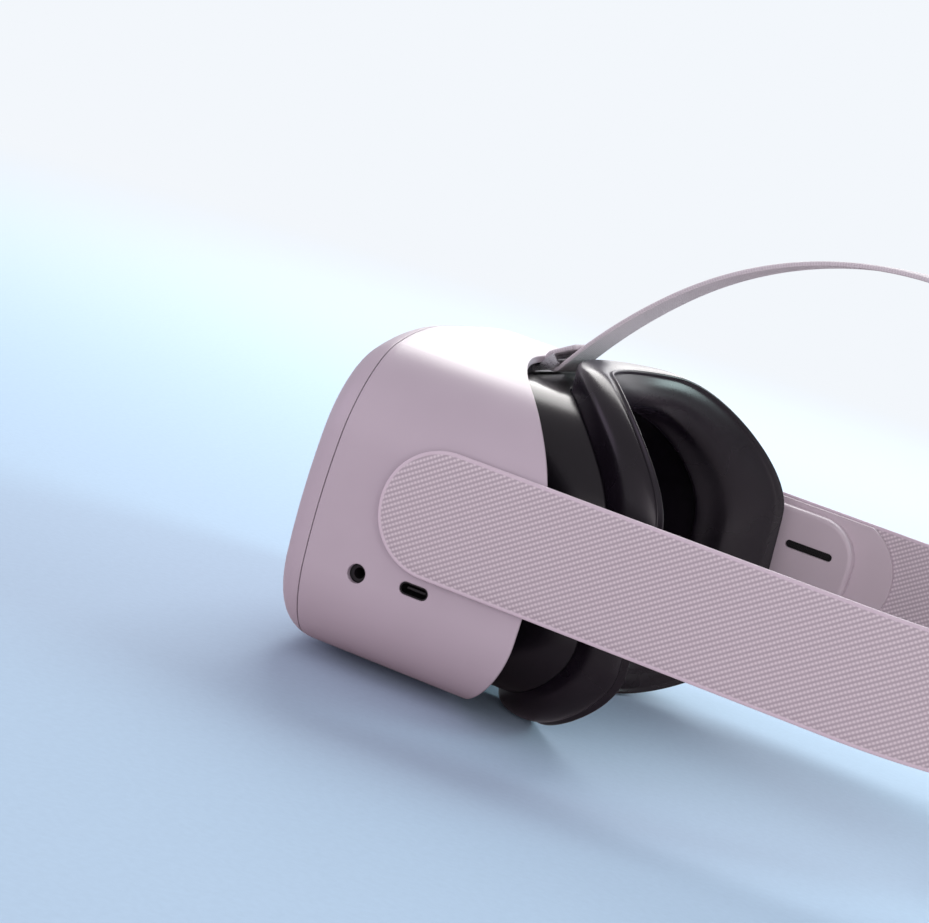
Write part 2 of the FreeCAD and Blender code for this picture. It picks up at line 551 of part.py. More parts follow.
# ---------------------------------------------------------------- ports and buttons
def port_cut(grow):
    cut = slot_face((PORT_LONG - PORT_TALL) / 2, PORT_TALL / 2 + grow, lambda y, z: V(0, y, z))
    cut = cut.extrude(V(PORT_DEEP + 6, 0, 0))
    cut.translate(V(HALF_W - PORT_DEEP, PORT_Y, PORT_Z))
    return cut


def charge_port():
    """A metal-skinned oval socket with its tongue."""
    skin = port_cut(PORT_SKIN).common(pillow(0.3)).cut(port_cut(0))
    back = port_cut(PORT_SKIN).common(box((0, HALF_W - PORT_DEEP + 1), (0, FAR), (0, FAR)))
    tongue = box((HALF_W - PORT_DEEP + 0.5, HALF_W - 2.5), (PORT_Y - 3.2, PORT_Y + 3.2),
                 (PORT_Z - 0.35, PORT_Z + 0.35))
    return fuse(skin, back, tongue)


def audio_jack():
    body = rod(JACK_R, (JACK_FACE_X - JACK_LONG - 1.5, JACK_Y, JACK_Z), AX, JACK_LONG + 1.5)
    return body.cut(rod(JACK_BORE_R, (JACK_FACE_X - JACK_LONG, JACK_Y, JACK_Z), AX, JACK_LONG + 1))


def power_parts(outer):
    """The power button's pill-shaped cap, its hole and the switch behind it, on the right side."""
    def pill(grow):
        half = (POWER_LONG - POWER_TALL) / 2
        face = slot_face(half, POWER_TALL / 2 + grow, lambda y, z: V(0, y, z))
        made = face.extrude(V(12, 0, 0))
        made.translate(V(-HALF_W - 3, POWER_Y, POWER_Z))
        return made
    wall_in = -(HALF_W - WALL - 2.4)
    cap = pill(0).common(outer).cut(box((wall_in, 0), (0, FAR), (0, FAR)))
    lip = pill(BUTTON_LIP).common(box((wall_in - 0.01, wall_in + 0.9), (0, FAR), (0, FAR)))
    button = fuse(cap, lip)
    switch = box((wall_in + 0.9 + BUTTON_TRAVEL + 0.1, wall_in + 5), (POWER_Y - 3, POWER_Y + 3),
                 (POWER_Z - 1.8, POWER_Z + 1.8))
    return button, pill(BUTTON_CLEAR), switch


def volume_parts(x):
    """A round button in the housing's floor, its hole and its switch."""
    lip_z = WALL + 1.0
    cap = rod(VOLUME_R, (x, VOLUME_Y, 0.6), AZ, lip_z)
    lip = rod(VOLUME_R + BUTTON_LIP, (x, VOLUME_Y, lip_z), AZ, 0.8)
    button = fuse(cap, lip)
    hole = rod(VOLUME_R + BUTTON_CLEAR, (x, VOLUME_Y, -1), AZ, WALL + 3)
    top = lip_z + 0.8 + BUTTON_TRAVEL + 0.1
    switch = box((x - 2.5, x + 2.5), (VOLUME_Y - 2.5, VOLUME_Y + 2.5), (top, top + 3))
    return button, hole, switch


# ---------------------------------------------------------------- face frame and cushion
def face_frame():
    ring = goggle(FRAME).cut(goggle(FRAME, FRAME_WALL))
    ring = ring.common(behind_housing(-BEZEL_RECESS + FACE_GAP)).cut(behind_face(-CUSHION_THICK))
    return fuse(ring, *latch_boxes(0))


def cushion():
    pad = goggle(CUSHION).cut(goggle(CUSHION_HOLE))
    return pad.common(behind_face(-CUSHION_THICK)).cut(behind_face())


# ---------------------------------------------------------------- arms
def strap_end_face(margin, start_y, end_y, round_end):
    """A side plate's outline: a full round front end, and a softer back end."""
    radius = STRAP_HEIGHT / 2 - margin
    front, low, high = start_y + radius, STRAP_MID_Z - radius, STRAP_MID_Z + radius
    back, bulge = end_y - round_end, end_y
    made = [Part.Arc(V(0, front, high), V(0, start_y, STRAP_MID_Z), V(0, front, low)).toShape(),
            Part.LineSegment(V(0, front, low), V(0, back, low)).toShape(),
            Part.Arc(V(0, back, low), V(0, bulge, STRAP_MID_Z), V(0, back, high)).toShape(),
            Part.LineSegment(V(0, back, high), V(0, front, high)).toShape()]
    return Part.Face(Part.Wire(made))


def arm_plate():
    start = HINGE_Y - STRAP_HEIGHT / 2 + ARM_EDGE
    plate = strap_end_face(ARM_EDGE, start, ARM_END_Y, 13.0).extrude(V(ARM_THICK, 0, 0))
    plate.translate(V(ARM_IN, 0, 0))
    return plate.cut(rod(PIN_R + PIN_RUN, (ARM_IN - 1, HINGE_Y, STRAP_MID_Z), AX, ARM_THICK + 2))


def pod_block(inset):
    """The speaker pod's form, taken in by inset all round."""
    low, high = STRAP_MID_Z - POD_HEIGHT / 2 + inset, STRAP_MID_Z + POD_HEIGHT / 2 - inset
    block = box((ARM_IN - POD_THICK + inset, ARM_IN), (POD_START_Y + inset, POD_END_Y - inset), (low, high))
    upright = [e for e in block.Edges if e.BoundBox.XLength > 1]
    block = block.makeFillet(POD_CORNER_R - inset, upright)
    rim = [e for e in block.Edges if e.BoundBox.XLength < 0.01 and e.BoundBox.XMax < ARM_IN - 1]
    return block.makeFillet(max(0.4, 1.6 - inset), rim)


def speaker_pod():
    """The hollow pod on the arm's inner side, with the sound slot facing the ear."""
    pod = pod_block(0).cut(pod_block(POD_WALL).common(box((0, ARM_IN - 0.4), (0, FAR), (0, FAR))))
    half = (SLOT_END_Y - SLOT_START_Y - SLOT_HEIGHT) / 2
    slot = slot_face(half, SLOT_HEIGHT / 2, lambda y, z: V(0, y, z)).extrude(V(POD_WALL + 2, 0, 0))
    slot.translate(V(ARM_IN - POD_THICK - 1, (SLOT_START_Y + SLOT_END_Y) / 2, SLOT_Z))
    return pod.cut(slot)


def speaker():
    """An oval loudspeaker that fires through the slot."""
    driver = slot_face(SPEAKER_HALF, SPEAKER_R, lambda y, z: V(0, y, z)).extrude(V(SPEAKER_THICK, 0, 0))
    driver.translate(V(ARM_IN - SPEAKER_THICK - 0.6, (SLOT_START_Y + SLOT_END_Y) / 2 - 3, STRAP_MID_Z + 1))
    return driver


def hinge_pin():
    """A shouldered pin: it turns in the arm and is locked to the housing inside by its flange."""
    pin = rod(PIN_R, (HALF_W - PIN_SHANK, HINGE_Y, STRAP_MID_Z), AX, ARM_OUT - 0.1 - HALF_W + PIN_SHANK)
    flange_x = HALF_W - WALL - 0.2 - FLANGE_THICK
    return fuse(pin, rod(FLANGE_R, (flange_x, HINGE_Y, STRAP_MID_Z), AX, FLANGE_THICK))


# ---------------------------------------------------------------- the head strap
def strap_steps():
    """The left half of the strap's plan: straight back, a bend, a straight run, and the back's arc."""
    lean = math.radians(BEND_ANGLE)
    x = STRAP_MID - FIRST_BEND_R * (1 - math.cos(lean)) - DIAGONAL * math.sin(lean)
    back_r = x / math.cos(lean)
    return x, back_r, lean


def strap_back_y():
    """Where the strap's outer face crosses the middle line, for a straight run that ends at y = 0."""
    x, back_r, lean = strap_steps()
    return (FIRST_BEND_R * math.sin(lean) + DIAGONAL * math.cos(lean)
            + back_r * (1 - math.sin(lean)) + STRAP_THICK / 2)


STRAIGHT_END = OVERALL_DEPTH - strap_back_y()


def side_strap():
    """The woven band from its round end over the hinge to the end of the first bend."""
    start = HINGE_Y - STRAP_HEIGHT / 2
    face = ribbon((STRAP_MID, start), 90, [(STRAIGHT_END - start,), (FIRST_BEND_R, BEND_ANGLE)],
                  STRAP_THICK, plan_view)
    band = face.extrude(V(0, 0, STRAP_HEIGHT))
    band.translate(V(0, 0, STRAP_LOW))
    outline = strap_end_face(0, start, OVERALL_DEPTH + 60, 0.5).extrude(V(FAR, 0, 0))
    return band.common(outline)


def back_panel():
    """The panel behind the head: one tall band with an eye-shaped hole, and straight ends."""
    x, back_r, _ = strap_steps()
    y = STRAIGHT_END + FIRST_BEND_R * math.sin(math.radians(BEND_ANGLE))
    start = (STRAP_MID - FIRST_BEND_R * (1 - math.cos(math.radians(BEND_ANGLE))), y)
    steps = [(DIAGONAL,), (back_r, 2 * (90 - BEND_ANGLE)), (DIAGONAL,)]
    face = ribbon(start, 90 + BEND_ANGLE, steps, STRAP_THICK, plan_view)
    wall = face.extrude(V(0, 0, 2 * STRAP_MID_Z))
    half, tall = x - 2.0, BACK_TALL / 2
    low, high, wide = STRAP_LOW, STRAP_HIGH, STRAP_OUT + 5
    z = STRAP_MID_Z
    edges = [Part.LineSegment(V(-wide, 0, high), V(-half, 0, high)).toShape(),
             *edges_of(*hump(half, high, z + tall), front_view),
             Part.LineSegment(V(half, 0, high), V(wide, 0, high)).toShape(),
             Part.LineSegment(V(wide, 0, high), V(wide, 0, low)).toShape(),
             Part.LineSegment(V(wide, 0, low), V(half, 0, low)).toShape(),
             *edges_of(*hump(half, low, z - tall), front_view),
             Part.LineSegment(V(-half, 0, low), V(-wide, 0, low)).toShape(),
             Part.LineSegment(V(-wide, 0, low), V(-wide, 0, high)).toShape()]
    outline = Part.Face(Part.Wire(Part.__sortEdges__(edges))).extrude(V(0, FAR, 0))
    left, right = V(-BACK_HOLE_HALF, 0, z), V(BACK_HOLE_HALF, 0, z)
    eye = Part.Face(Part.Wire([
        Part.Arc(left, V(0, 0, z + BACK_HOLE_TALL / 2), right).toShape(),
        Part.Arc(right, V(0, 0, z - BACK_HOLE_TALL / 2), left).toShape()]))
    return wall.common(outline).cut(eye.extrude(V(0, FAR, 0)))


def hump(half, base, peak):
    """An S-shaped rise, a crest and the same fall, as three tangent arcs from -half to half."""
    rise, quarter = peak - base, half / 2
    radius = (quarter ** 2 + (rise / 2) ** 2) / abs(rise)
    turn = math.degrees(math.asin(quarter / radius))
    sense = 1 if rise > 0 else -1
    steps = [(radius, sense * turn), (radius, -2 * sense * turn), (radius, sense * turn)]
    points, middles, _ = chain((-half, base), 0, steps)
    return points, middles


def slider():
    """A moulded ladder slider that wraps the band's straight run on the left."""
    x, _, lean = strap_steps()
    mid = V(x + DIAGONAL / 2 * math.sin(lean), STRAIGHT_END + FIRST_BEND_R * math.sin(lean)
            + DIAGONAL / 2 * math.cos(lean), STRAP_MID_Z)
    tall, thick = STRAP_HEIGHT / 2 + SLIDER_CLEAR, STRAP_THICK / 2 + SLIDER_CLEAR
    ring = box((-thick - SLIDER_BAR / 2, thick + SLIDER_BAR / 2), (-SLIDER_LONG / 2, SLIDER_LONG / 2),
               (-tall - SLIDER_BAR, tall + SLIDER_BAR))
    ring = ring.makeFillet(1.2, ring.Edges)
    ring = ring.cut(box((-thick, thick), (-SLIDER_LONG, SLIDER_LONG), (-tall, tall)))
    ring.rotate(V(), AZ, BEND_ANGLE)
    ring.translate(mid)
    return ring


def top_strap():
    """The strap over the head: up from its bar on the housing, over, and down inside the back panel."""
    start_y, start_z = BAR_Y + BAR_R + TOP_THICK / 2 + 0.4, BAR_Z
    rise, mid, fall = (math.radians(a) for a in (TOP_RISE, TOP_MID_HEADING, TOP_FALL))
    y = start_y + TOP_RISE_R * (math.sin(rise) - math.sin(mid)) + TOP_PEAK_R * math.sin(mid)
    z = start_z + TOP_RISE_R * (math.cos(mid) - math.cos(rise)) + TOP_PEAK_R * (1 - math.cos(mid))
    _, back_r, _ = strap_steps()
    back_r -= STRAP_THICK / 2
    end_y = OVERALL_DEPTH - STRAP_THICK - TOP_THICK / 2 - 0.1
    end_y -= back_r - math.sqrt(back_r ** 2 - (TOP_WIDTH / 2) ** 2)
    end_z = STRAP_MID_Z + BACK_HOLE_TALL / 2 + 3
    # Two radii that carry the strap from its crest to a vertical end against the panel.
    a, b, c, d = math.sin(fall), 1 - math.sin(fall), 1 - math.cos(fall), math.cos(fall)
    run, drop = end_y - y, z - end_z
    det = a * d - b * c
    over_r, down_r = (run * d - b * drop) / det, (a * drop - c * run) / det
    steps = [(TOP_RISE_R, TOP_MID_HEADING - TOP_RISE), (TOP_PEAK_R, -TOP_MID_HEADING),
             (over_r, -TOP_FALL), (down_r, TOP_FALL - 90)]
    face = ribbon((start_y, start_z), TOP_RISE, steps, TOP_THICK, side_view)
    band = face.extrude(V(TOP_WIDTH, 0, 0))
    band.translate(V(-TOP_WIDTH / 2, 0, 0))
    loop_out, loop_in = BAR_R + TOP_THICK + 0.4, BAR_R + 0.4
    loop = rod(loop_out, (-TOP_WIDTH / 2, BAR_Y, BAR_Z), AX, TOP_WIDTH)
    loop = loop.cut(rod(loop_in, (-TOP_WIDTH / 2 - 1, BAR_Y, BAR_Z), AX, TOP_WIDTH + 2))
    return fuse(band.cut(rod(loop_in, (-TOP_WIDTH, BAR_Y, BAR_Z), AX, 2 * TOP_WIDTH)), loop)


def strap_bar():
    """A steel bar on two ears behind the visor's brow, which the top strap passes round."""
    half, low, high = TOP_WIDTH / 2 + 1.0, BAR_FOOT_Z - 1, BAR_FOOT_Z + 1
    bar = rod(BAR_R, (-half - 2, BAR_Y, BAR_Z), AX, 2 * half + 4)
    ears = []
    for x in (1, -1):
        base_y = bezel_back_y(half + 2, low) + 0.1
        spine = Part.makePolygon([V(0, base_y, low), V(0, BAR_Y + 1.0, BAR_Z - 2.8),
                                  V(0, BAR_Y + 2.6, BAR_Z), V(0, BAR_Y, BAR_Z + 2.6),
                                  V(0, BAR_Y - 2.2, BAR_Z), V(0, base_y + 1.6, high),
                                  V(0, base_y, high), V(0, base_y, low)])
        ear = Part.Face(spine).extrude(V(2.0, 0, 0))
        ear.translate(V(half if x > 0 else -half - 2.0, 0, 0))
        ears.append(ear)
    foot = box((-half - 2, half + 2), (0, bezel_back_y(0, BAR_FOOT_Z) + 2.6), (low, high))
    foot = foot.common(behind_housing(-BEZEL_RECESS + 0.1))
    return fuse(bar, foot, *ears)


# ---------------------------------------------------------------- the whole
def build():
    parts = {}
    cover, body, outer = shells()
    for name, (x, z) in CAMERA_SPOTS.items():
        window, module = camera(outer, x, z)
        parts["camera_window_" + name], parts["camera_" + name] = window, module
        hole = rod(CAMERA_R, (x, -5, z), AY, 40)
        cover, body = cover.cut(hole), body.cut(rod(CAMERA_R, (x, -5, z), AY, 24))
    button, hole, switch = power_parts(outer)
    body = body.cut(hole)
    parts["power_button"], parts["power_switch"] = button, switch
    for name, x in VOLUME_XS.items():
        button, hole, switch = volume_parts(x)
        body = body.cut(hole)
        parts[f"volume_{name}_button"], parts[f"volume_{name}_switch"] = button, switch
    body = body.cut(port_cut(PORT_SKIN + 0.1))
    body = body.cut(rod(JACK_R + 0.1, (HALF_W - 20, JACK_Y, JACK_Z), AX, 30))
    light = rod(0.9, (-HALF_W - 2, POWER_Y - 10, POWER_Z), AX, 8)
    body = body.cut(rod(1.0, (-HALF_W - 2, POWER_Y - 10, POWER_Z), AX, 8))
    parts["status_light"] = light.common(outer)
    parts["front_cover"], parts["main_housing"] = cover, body
    parts["charge_port"], parts["audio_jack"] = charge_port(), audio_jack()
    parts["rear_bezel"], parts["bezel_screws"] = bezel(), screws()
    parts["proximity_sensor"] = proximity_sensor()
    parts["chassis_plate"] = chassis()
    parts["lens_rail_lower"], parts["lens_rail_upper"] = rails()
    parts.update(inner_stack())
    parts["fan_casing"], parts["fan_rotor"] = fan()
    parts["ipd_pinion"] = pinion()
    for name, side in (("left", 1), ("right", -1)):
        parts["lens_carrier_" + name], parts["lens_" + name] = lens_carrier(side), lens(side)
    parts["face_frame"], parts["face_cushion"] = face_frame(), cushion()
    left = {"hinge_pin": hinge_pin(), "arm_plate": arm_plate(), "speaker_pod": speaker_pod(),
            "speaker": speaker(), "side_strap": side_strap(), "strap_slider": slider()}
    for name, shape in left.items():
        parts[name + "_left"], parts[name + "_right"] = shape, flip(shape)
    parts["back_panel"], parts["top_strap"], parts["top_strap_bar"] = back_panel(), top_strap(), strap_bar()
    return parts


def main():
    os.makedirs("parts", exist_ok=True)
    shift = V(0, -OVERALL_DEPTH / 2, 0)
    for name, shape in build().items():
        shape = shape.copy()
        shape.translate(shift)
        bad = "" if shape.isValid() else "  NOT VALID"
        print(f"{name:28s} solids {len(shape.Solids)}  volume {shape.Volume:10.1f}{bad}")
        shape.exportStep(os.path.join("parts", name + ".step"))


main()
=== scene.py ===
"""The look of a standalone head-worn display: a moulded visor, a skinned foam face cushion, two side arms
with speakers, a knitted head strap with its sliders and back panel, and a ribbed webbing strap over the top.
"""

import math

import bmesh
import bpy
from mathutils import Matrix, Vector


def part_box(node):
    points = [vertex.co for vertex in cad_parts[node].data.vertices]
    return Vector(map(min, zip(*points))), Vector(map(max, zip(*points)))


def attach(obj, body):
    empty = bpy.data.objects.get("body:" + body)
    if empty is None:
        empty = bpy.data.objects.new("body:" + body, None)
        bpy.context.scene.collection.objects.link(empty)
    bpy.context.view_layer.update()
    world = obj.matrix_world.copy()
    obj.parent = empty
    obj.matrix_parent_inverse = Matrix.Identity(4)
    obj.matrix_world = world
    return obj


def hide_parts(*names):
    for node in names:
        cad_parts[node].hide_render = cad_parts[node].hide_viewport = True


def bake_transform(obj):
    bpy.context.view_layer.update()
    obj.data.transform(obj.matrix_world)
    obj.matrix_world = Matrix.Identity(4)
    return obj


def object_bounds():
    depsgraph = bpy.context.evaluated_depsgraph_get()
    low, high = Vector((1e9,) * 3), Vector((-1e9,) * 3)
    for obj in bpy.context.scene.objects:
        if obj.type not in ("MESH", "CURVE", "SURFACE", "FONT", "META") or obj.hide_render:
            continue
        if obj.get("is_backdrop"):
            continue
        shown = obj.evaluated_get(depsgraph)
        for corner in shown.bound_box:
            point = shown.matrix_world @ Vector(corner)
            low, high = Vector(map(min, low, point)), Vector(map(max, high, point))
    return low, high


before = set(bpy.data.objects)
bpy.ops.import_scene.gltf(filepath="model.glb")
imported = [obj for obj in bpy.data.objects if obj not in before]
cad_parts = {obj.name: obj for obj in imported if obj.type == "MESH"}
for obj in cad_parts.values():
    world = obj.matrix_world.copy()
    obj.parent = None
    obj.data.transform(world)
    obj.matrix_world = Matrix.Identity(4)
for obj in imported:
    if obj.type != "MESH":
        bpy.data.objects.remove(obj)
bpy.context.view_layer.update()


# ---- Chassis and what is screwed to it -------------------------------------------------------
# A glass-filled nylon plate, moulded matt black, carries the rails, the gear's stud and the boards.
# The same black is used for the lens barrels, the gear, the fan and the small switches.
MM = 0.001
FRONT_TO_MIDDLE = 147.5      # the visor's foremost point lies this far ahead of the object's middle


def linear(code):
    """A hex colour as linear red, green, blue and full alpha."""
    parts = [int(code[i:i + 2], 16) / 255 for i in (1, 3, 5)]
    return [c / 12.92 if c <= 0.04045 else ((c + 0.055) / 1.055) ** 2.4 for c in parts] + [1.0]


def add(tree, kind, inputs=None, **settings):
    """Adds a node, with its settings and with a value or a link on each named input."""
    made = tree.nodes.new(kind)
    for name, value in settings.items():
        setattr(made, name, value)
    for key, value in (inputs or {}).items():
        if isinstance(value, bpy.types.NodeSocket):
            tree.links.new(value, made.inputs[key])
        else:
            made.inputs[key].default_value = value
    return made


def start(name):
    """A new material with its node tree emptied, ready for nodes."""
    made = bpy.data.materials.new(name)
    made.use_nodes = True
    made.node_tree.nodes.clear()
    return made, made.node_tree


def finish_surface(tree, surface):
    """The shader whose light is what the finish shows."""
    add(tree, "ShaderNodeOutputMaterial", {"Surface": surface.outputs[0]})


def ramp(tree, factor, stops):
    """A colour ramp through (position, hex colour) stops."""
    made = add(tree, "ShaderNodeValToRGB", {"Fac": factor})
    band = made.color_ramp.elements
    while len(band) < len(stops):
        band.new(0.5)
    for spot, (position, code) in zip(band, stops):
        spot.position, spot.color = position, linear(code)
    return made.outputs["Color"]


def dress(finish, *nodes):
    """Gives carried-over nodes a finish."""
    for name in nodes:
        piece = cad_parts[name]
        if not piece.material_slots:
            piece.data.materials.append(finish)
        for slot in piece.material_slots:
            slot.material = finish


def moulded(name, dark, light, rough, grain_mm, grain_depth_mm, edge_mm):
    """An injection moulding: faint colour drift, the tool's fine grain, and edges softened by edge_mm."""
    made, tree = start(name)
    place = add(tree, "ShaderNodeTexCoord").outputs["Object"]
    drift = add(tree, "ShaderNodeTexNoise", {"Vector": place, "Scale": 30.0, "Detail": 2.0})
    colour = ramp(tree, drift.outputs["Fac"], [(0.3, dark), (0.7, light)])
    grain = add(tree, "ShaderNodeTexNoise", {"Vector": place, "Scale": 1 / (grain_mm * MM), "Detail": 2.0})
    rub = add(tree, "ShaderNodeMapRange", {"Value": drift.outputs["Fac"], "From Min": 0.3, "From Max": 0.7,
                                           "To Min": rough - 0.03, "To Max": rough + 0.03})
    soft = add(tree, "ShaderNodeBevel", {"Radius": edge_mm * MM}, samples=4)
    bump = add(tree, "ShaderNodeBump", {"Height": grain.outputs["Fac"], "Distance": grain_depth_mm * MM,
                                        "Strength": 0.6, "Normal": soft.outputs["Normal"]})
    finish_surface(tree, add(tree, "ShaderNodeBsdfPrincipled", {
        "Base Color": colour, "Roughness": rub.outputs["Result"], "IOR": 1.5,
        "Normal": bump.outputs["Normal"]}))
    return made


# Glass-filled nylon: dead matt, with a spark-eroded grain that breaks up every highlight.
black_nylon = moulded("glass_filled_nylon_black", "#151417", "#1C1A1E", 0.62, 0.5, 0.03, 0.2)
dress(black_nylon, "chassis_plate", "ipd_pinion", "fan_casing", "fan_rotor", "lens_carrier_left",
      "lens_carrier_right", "power_switch", "volume_up_switch", "volume_down_switch", "speaker_left",
      "speaker_right", "camera_upper_left", "camera_upper_right", "camera_lower_left",
      "camera_lower_right", "audio_jack", "proximity_sensor")


# ---- Circuit board, cell, shield can and heat spreader ---------------------------------------
# A green fibreglass board with a tinned steel can over its processor, a copper sheet that spreads
# the heat to the fan, and a flat lithium cell in heat-shrunk film.
def board_finish():
    """Solder mask over copper tracks: broad green cells with darker lines between them."""
    made, tree = start("solder_mask_green")
    place = add(tree, "ShaderNodeTexCoord").outputs["Object"]
    tracks = add(tree, "ShaderNodeTexBrick", {
        "Vector": place, "Scale": 260.0, "Mortar Size": 0.03, "Color1": linear("#1F5A3C"),
        "Color2": linear("#236645"), "Mortar": linear("#123A27")})
    bump = add(tree, "ShaderNodeBump", {"Height": tracks.outputs["Fac"], "Distance": 0.04 * MM,
                                        "Strength": 0.5})
    finish_surface(tree, add(tree, "ShaderNodeBsdfPrincipled", {
        "Base Color": tracks.outputs["Color"], "Roughness": 0.35, "IOR": 1.5,
        "Normal": bump.outputs["Normal"]}))
    return made


def rolled_metal(name, dark, light, rough, line_mm):
    """Sheet or bar metal with drawing lines along its length, line_mm apart."""
    made, tree = start(name)
    place = add(tree, "ShaderNodeTexCoord").outputs["Object"]
    turned = add(tree, "ShaderNodeMapping", {"Vector": place,
                                             "Scale": (20, 1 / (line_mm * MM), 1 / (line_mm * MM))})
    lines = add(tree, "ShaderNodeTexNoise", {"Vector": turned.outputs["Vector"], "Scale": 1.0,
                                             "Detail": 3.0})
    colour = ramp(tree, lines.outputs["Fac"], [(0.3, dark), (0.7, light)])
    rub = add(tree, "ShaderNodeMapRange", {"Value": lines.outputs["Fac"], "To Min": rough - 0.08,
                                           "To Max": rough + 0.08})
    soft = add(tree, "ShaderNodeBevel", {"Radius": 0.2 * MM}, samples=4)
    bump = add(tree, "ShaderNodeBump", {"Height": lines.outputs["Fac"], "Distance": 0.01 * MM,
                                        "Strength": 0.5, "Normal": soft.outputs["Normal"]})
    finish_surface(tree, add(tree, "ShaderNodeBsdfPrincipled", {
        "Base Color": colour, "Metallic": 1.0, "Roughness": rub.outputs["Result"],
        "Normal": bump.outputs["Normal"]}))
    return made


# Ground stainless steel: fine lines along the bar stretch each highlight.
stainless = rolled_metal("stainless_steel_ground", "#A9A9AD", "#C9C9CC", 0.28, 0.3)
# Rolled copper sheet, slightly tarnished, so it has warm dull patches.
copper_sheet = rolled_metal("copper_sheet_rolled", "#A9623F", "#C98560", 0.38, 0.4)
# Heat-shrunk polyester film: pale silver-grey with a soft wrinkle.
cell_film = moulded("polyester_film_grey", "#9C9DA3", "#B0B1B6", 0.3, 3.0, 0.1, 0.5)
dress(board_finish(), "main_board")
dress(stainless, "processor_shield", "lens_rail_lower", "lens_rail_upper", "hinge_pin_left",
      "hinge_pin_right", "bezel_screws", "top_strap_bar")
dress(copper_sheet, "heat_spreader")
dress(cell_film, "battery_cell")


# ---- Display panel and lenses ----------------------------------------------------------------
# One wide display lies behind two moulded acrylic lenses. Each lens has fine concentric steps cut in
# its flat side, which show as faint rings, and a domed clear face towards the eye.
def display_finish():
    """Switched-off display glass: near black, glossy, with its fine grid as a faint sheen."""
    made, tree = start("display_glass_off")
    place = add(tree, "ShaderNodeTexCoord").outputs["Object"]
    grid = add(tree, "ShaderNodeTexBrick", {
        "Vector": place, "Scale": 900.0, "Color1": linear("#0B0C12"), "Color2": linear("#0D0E15"),
        "Mortar": linear("#060609")})
    finish_surface(tree, add(tree, "ShaderNodeBsdfPrincipled", {
        "Base Color": grid.outputs["Color"], "Roughness": 0.08, "IOR": 1.5}))
    return made


def from_centre(tree, centre):
    """The distance from the line through centre that runs front to back."""
    place = add(tree, "ShaderNodeTexCoord").outputs["Object"]
    moved = add(tree, "ShaderNodeMapping", {"Vector": place, "Location": tuple(-c for c in centre)})
    split = add(tree, "ShaderNodeSeparateXYZ", {"Vector": moved.outputs["Vector"]})
    flat = add(tree, "ShaderNodeCombineXYZ", {"X": split.outputs["X"], "Y": split.outputs["Z"]})
    away = add(tree, "ShaderNodeVectorMath", {0: flat.outputs["Vector"]}, operation="LENGTH")
    return away.outputs["Value"]


def ripple(tree, distance, pitch_mm, wave):
    """A SINE or COSINE of distance that repeats every pitch_mm."""
    angle = add(tree, "ShaderNodeMath", {0: distance, 1: 2 * math.pi / (pitch_mm * MM)},
                operation="MULTIPLY")
    return add(tree, "ShaderNodeMath", {0: angle.outputs["Value"]}, operation=wave).outputs["Value"]


def lens_finish(centre):
    """Acrylic with ring steps 0.6 mm apart about centre, drawn coarser than the real ones so they show."""
    made, tree = start("acrylic_lens_ringed")
    rings = ripple(tree, from_centre(tree, centre), 0.6, "SINE")
    bump = add(tree, "ShaderNodeBump", {"Height": rings, "Distance": 0.01 * MM, "Strength": 0.35})
    finish_surface(tree, add(tree, "ShaderNodeBsdfPrincipled", {
        "Base Color": linear("#F4F6FA"), "Roughness": 0.03, "IOR": 1.49, "Transmission Weight": 1.0,
        "Coat Weight": 0.6, "Coat Roughness": 0.03, "Coat Tint": linear("#B9A8E8"),
        "Normal": bump.outputs["Normal"]}))
    return made


dress(display_finish(), "display_panel")
for side in ("left", "right"):
    low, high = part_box("lens_" + side)
    dress(lens_finish((low + high) / 2), "lens_" + side)


# ---- Rear bezel ------------------------------------------------------------------------------
# The black plate round the lens barrels is ABS with a leather-like texture from the mould, held by
# four screws. It keeps stray light off the lenses, so it is as dull as a moulding can be.
dress(moulded("abs_textured_black", "#121114", "#1A181C", 0.58, 0.9, 0.06, 0.4), "rear_bezel")


# ---- Housing and front cover -----------------------------------------------------------------
# Two polycarbonate shells meet at a fine seam round the visor. They are moulded in a pale lilac grey
# with a satin, lightly spark-eroded surface, and the cut edge at the back is softly rounded.
dress(moulded("polycarbonate_satin_pale", "#C7BCC6", "#CCC1CB", 0.38, 0.35, 0.006, 0.7),
      "main_housing", "front_cover")


# ---- Tracking cameras ------------------------------------------------------------------------
# Four wide-angle cameras look out through round windows set flush in the visor. The windows are
# black-tinted acrylic, polished like glass, with a clear pupil in the middle.
WINDOW_R = 6.0


def window_finish(centre):
    """Tinted acrylic: black, with a painted highlight ring round the pupil and the lens coating's violet
    reflection painted into the pupil.
    """
    made, tree = start("acrylic_window_tinted")
    share = add(tree, "ShaderNodeMath", {0: from_centre(tree, centre), 1: WINDOW_R * MM},
                operation="DIVIDE")
    # Painted reflection and highlight: a violet pupil stands for the coating's reflection, and a thin light
    # ring for the lens rim's glint.
    colour = ramp(tree, share.outputs["Value"], [
        (0.0, "#1B1230"), (0.22, "#120C1E"), (0.34, "#050507"), (0.42, "#3A3840"), (0.47, "#08080A"),
        (1.0, "#0B0B0E")])
    finish_surface(tree, add(tree, "ShaderNodeBsdfPrincipled", {
        "Base Color": colour, "Roughness": 0.05, "IOR": 1.49, "Coat Weight": 1.0,
        "Coat Roughness": 0.03}))
    return made


for spot in ("upper_left", "upper_right", "lower_left", "lower_right"):
    low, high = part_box("camera_window_" + spot)
    dress(window_finish((low + high) / 2), "camera_window_" + spot)


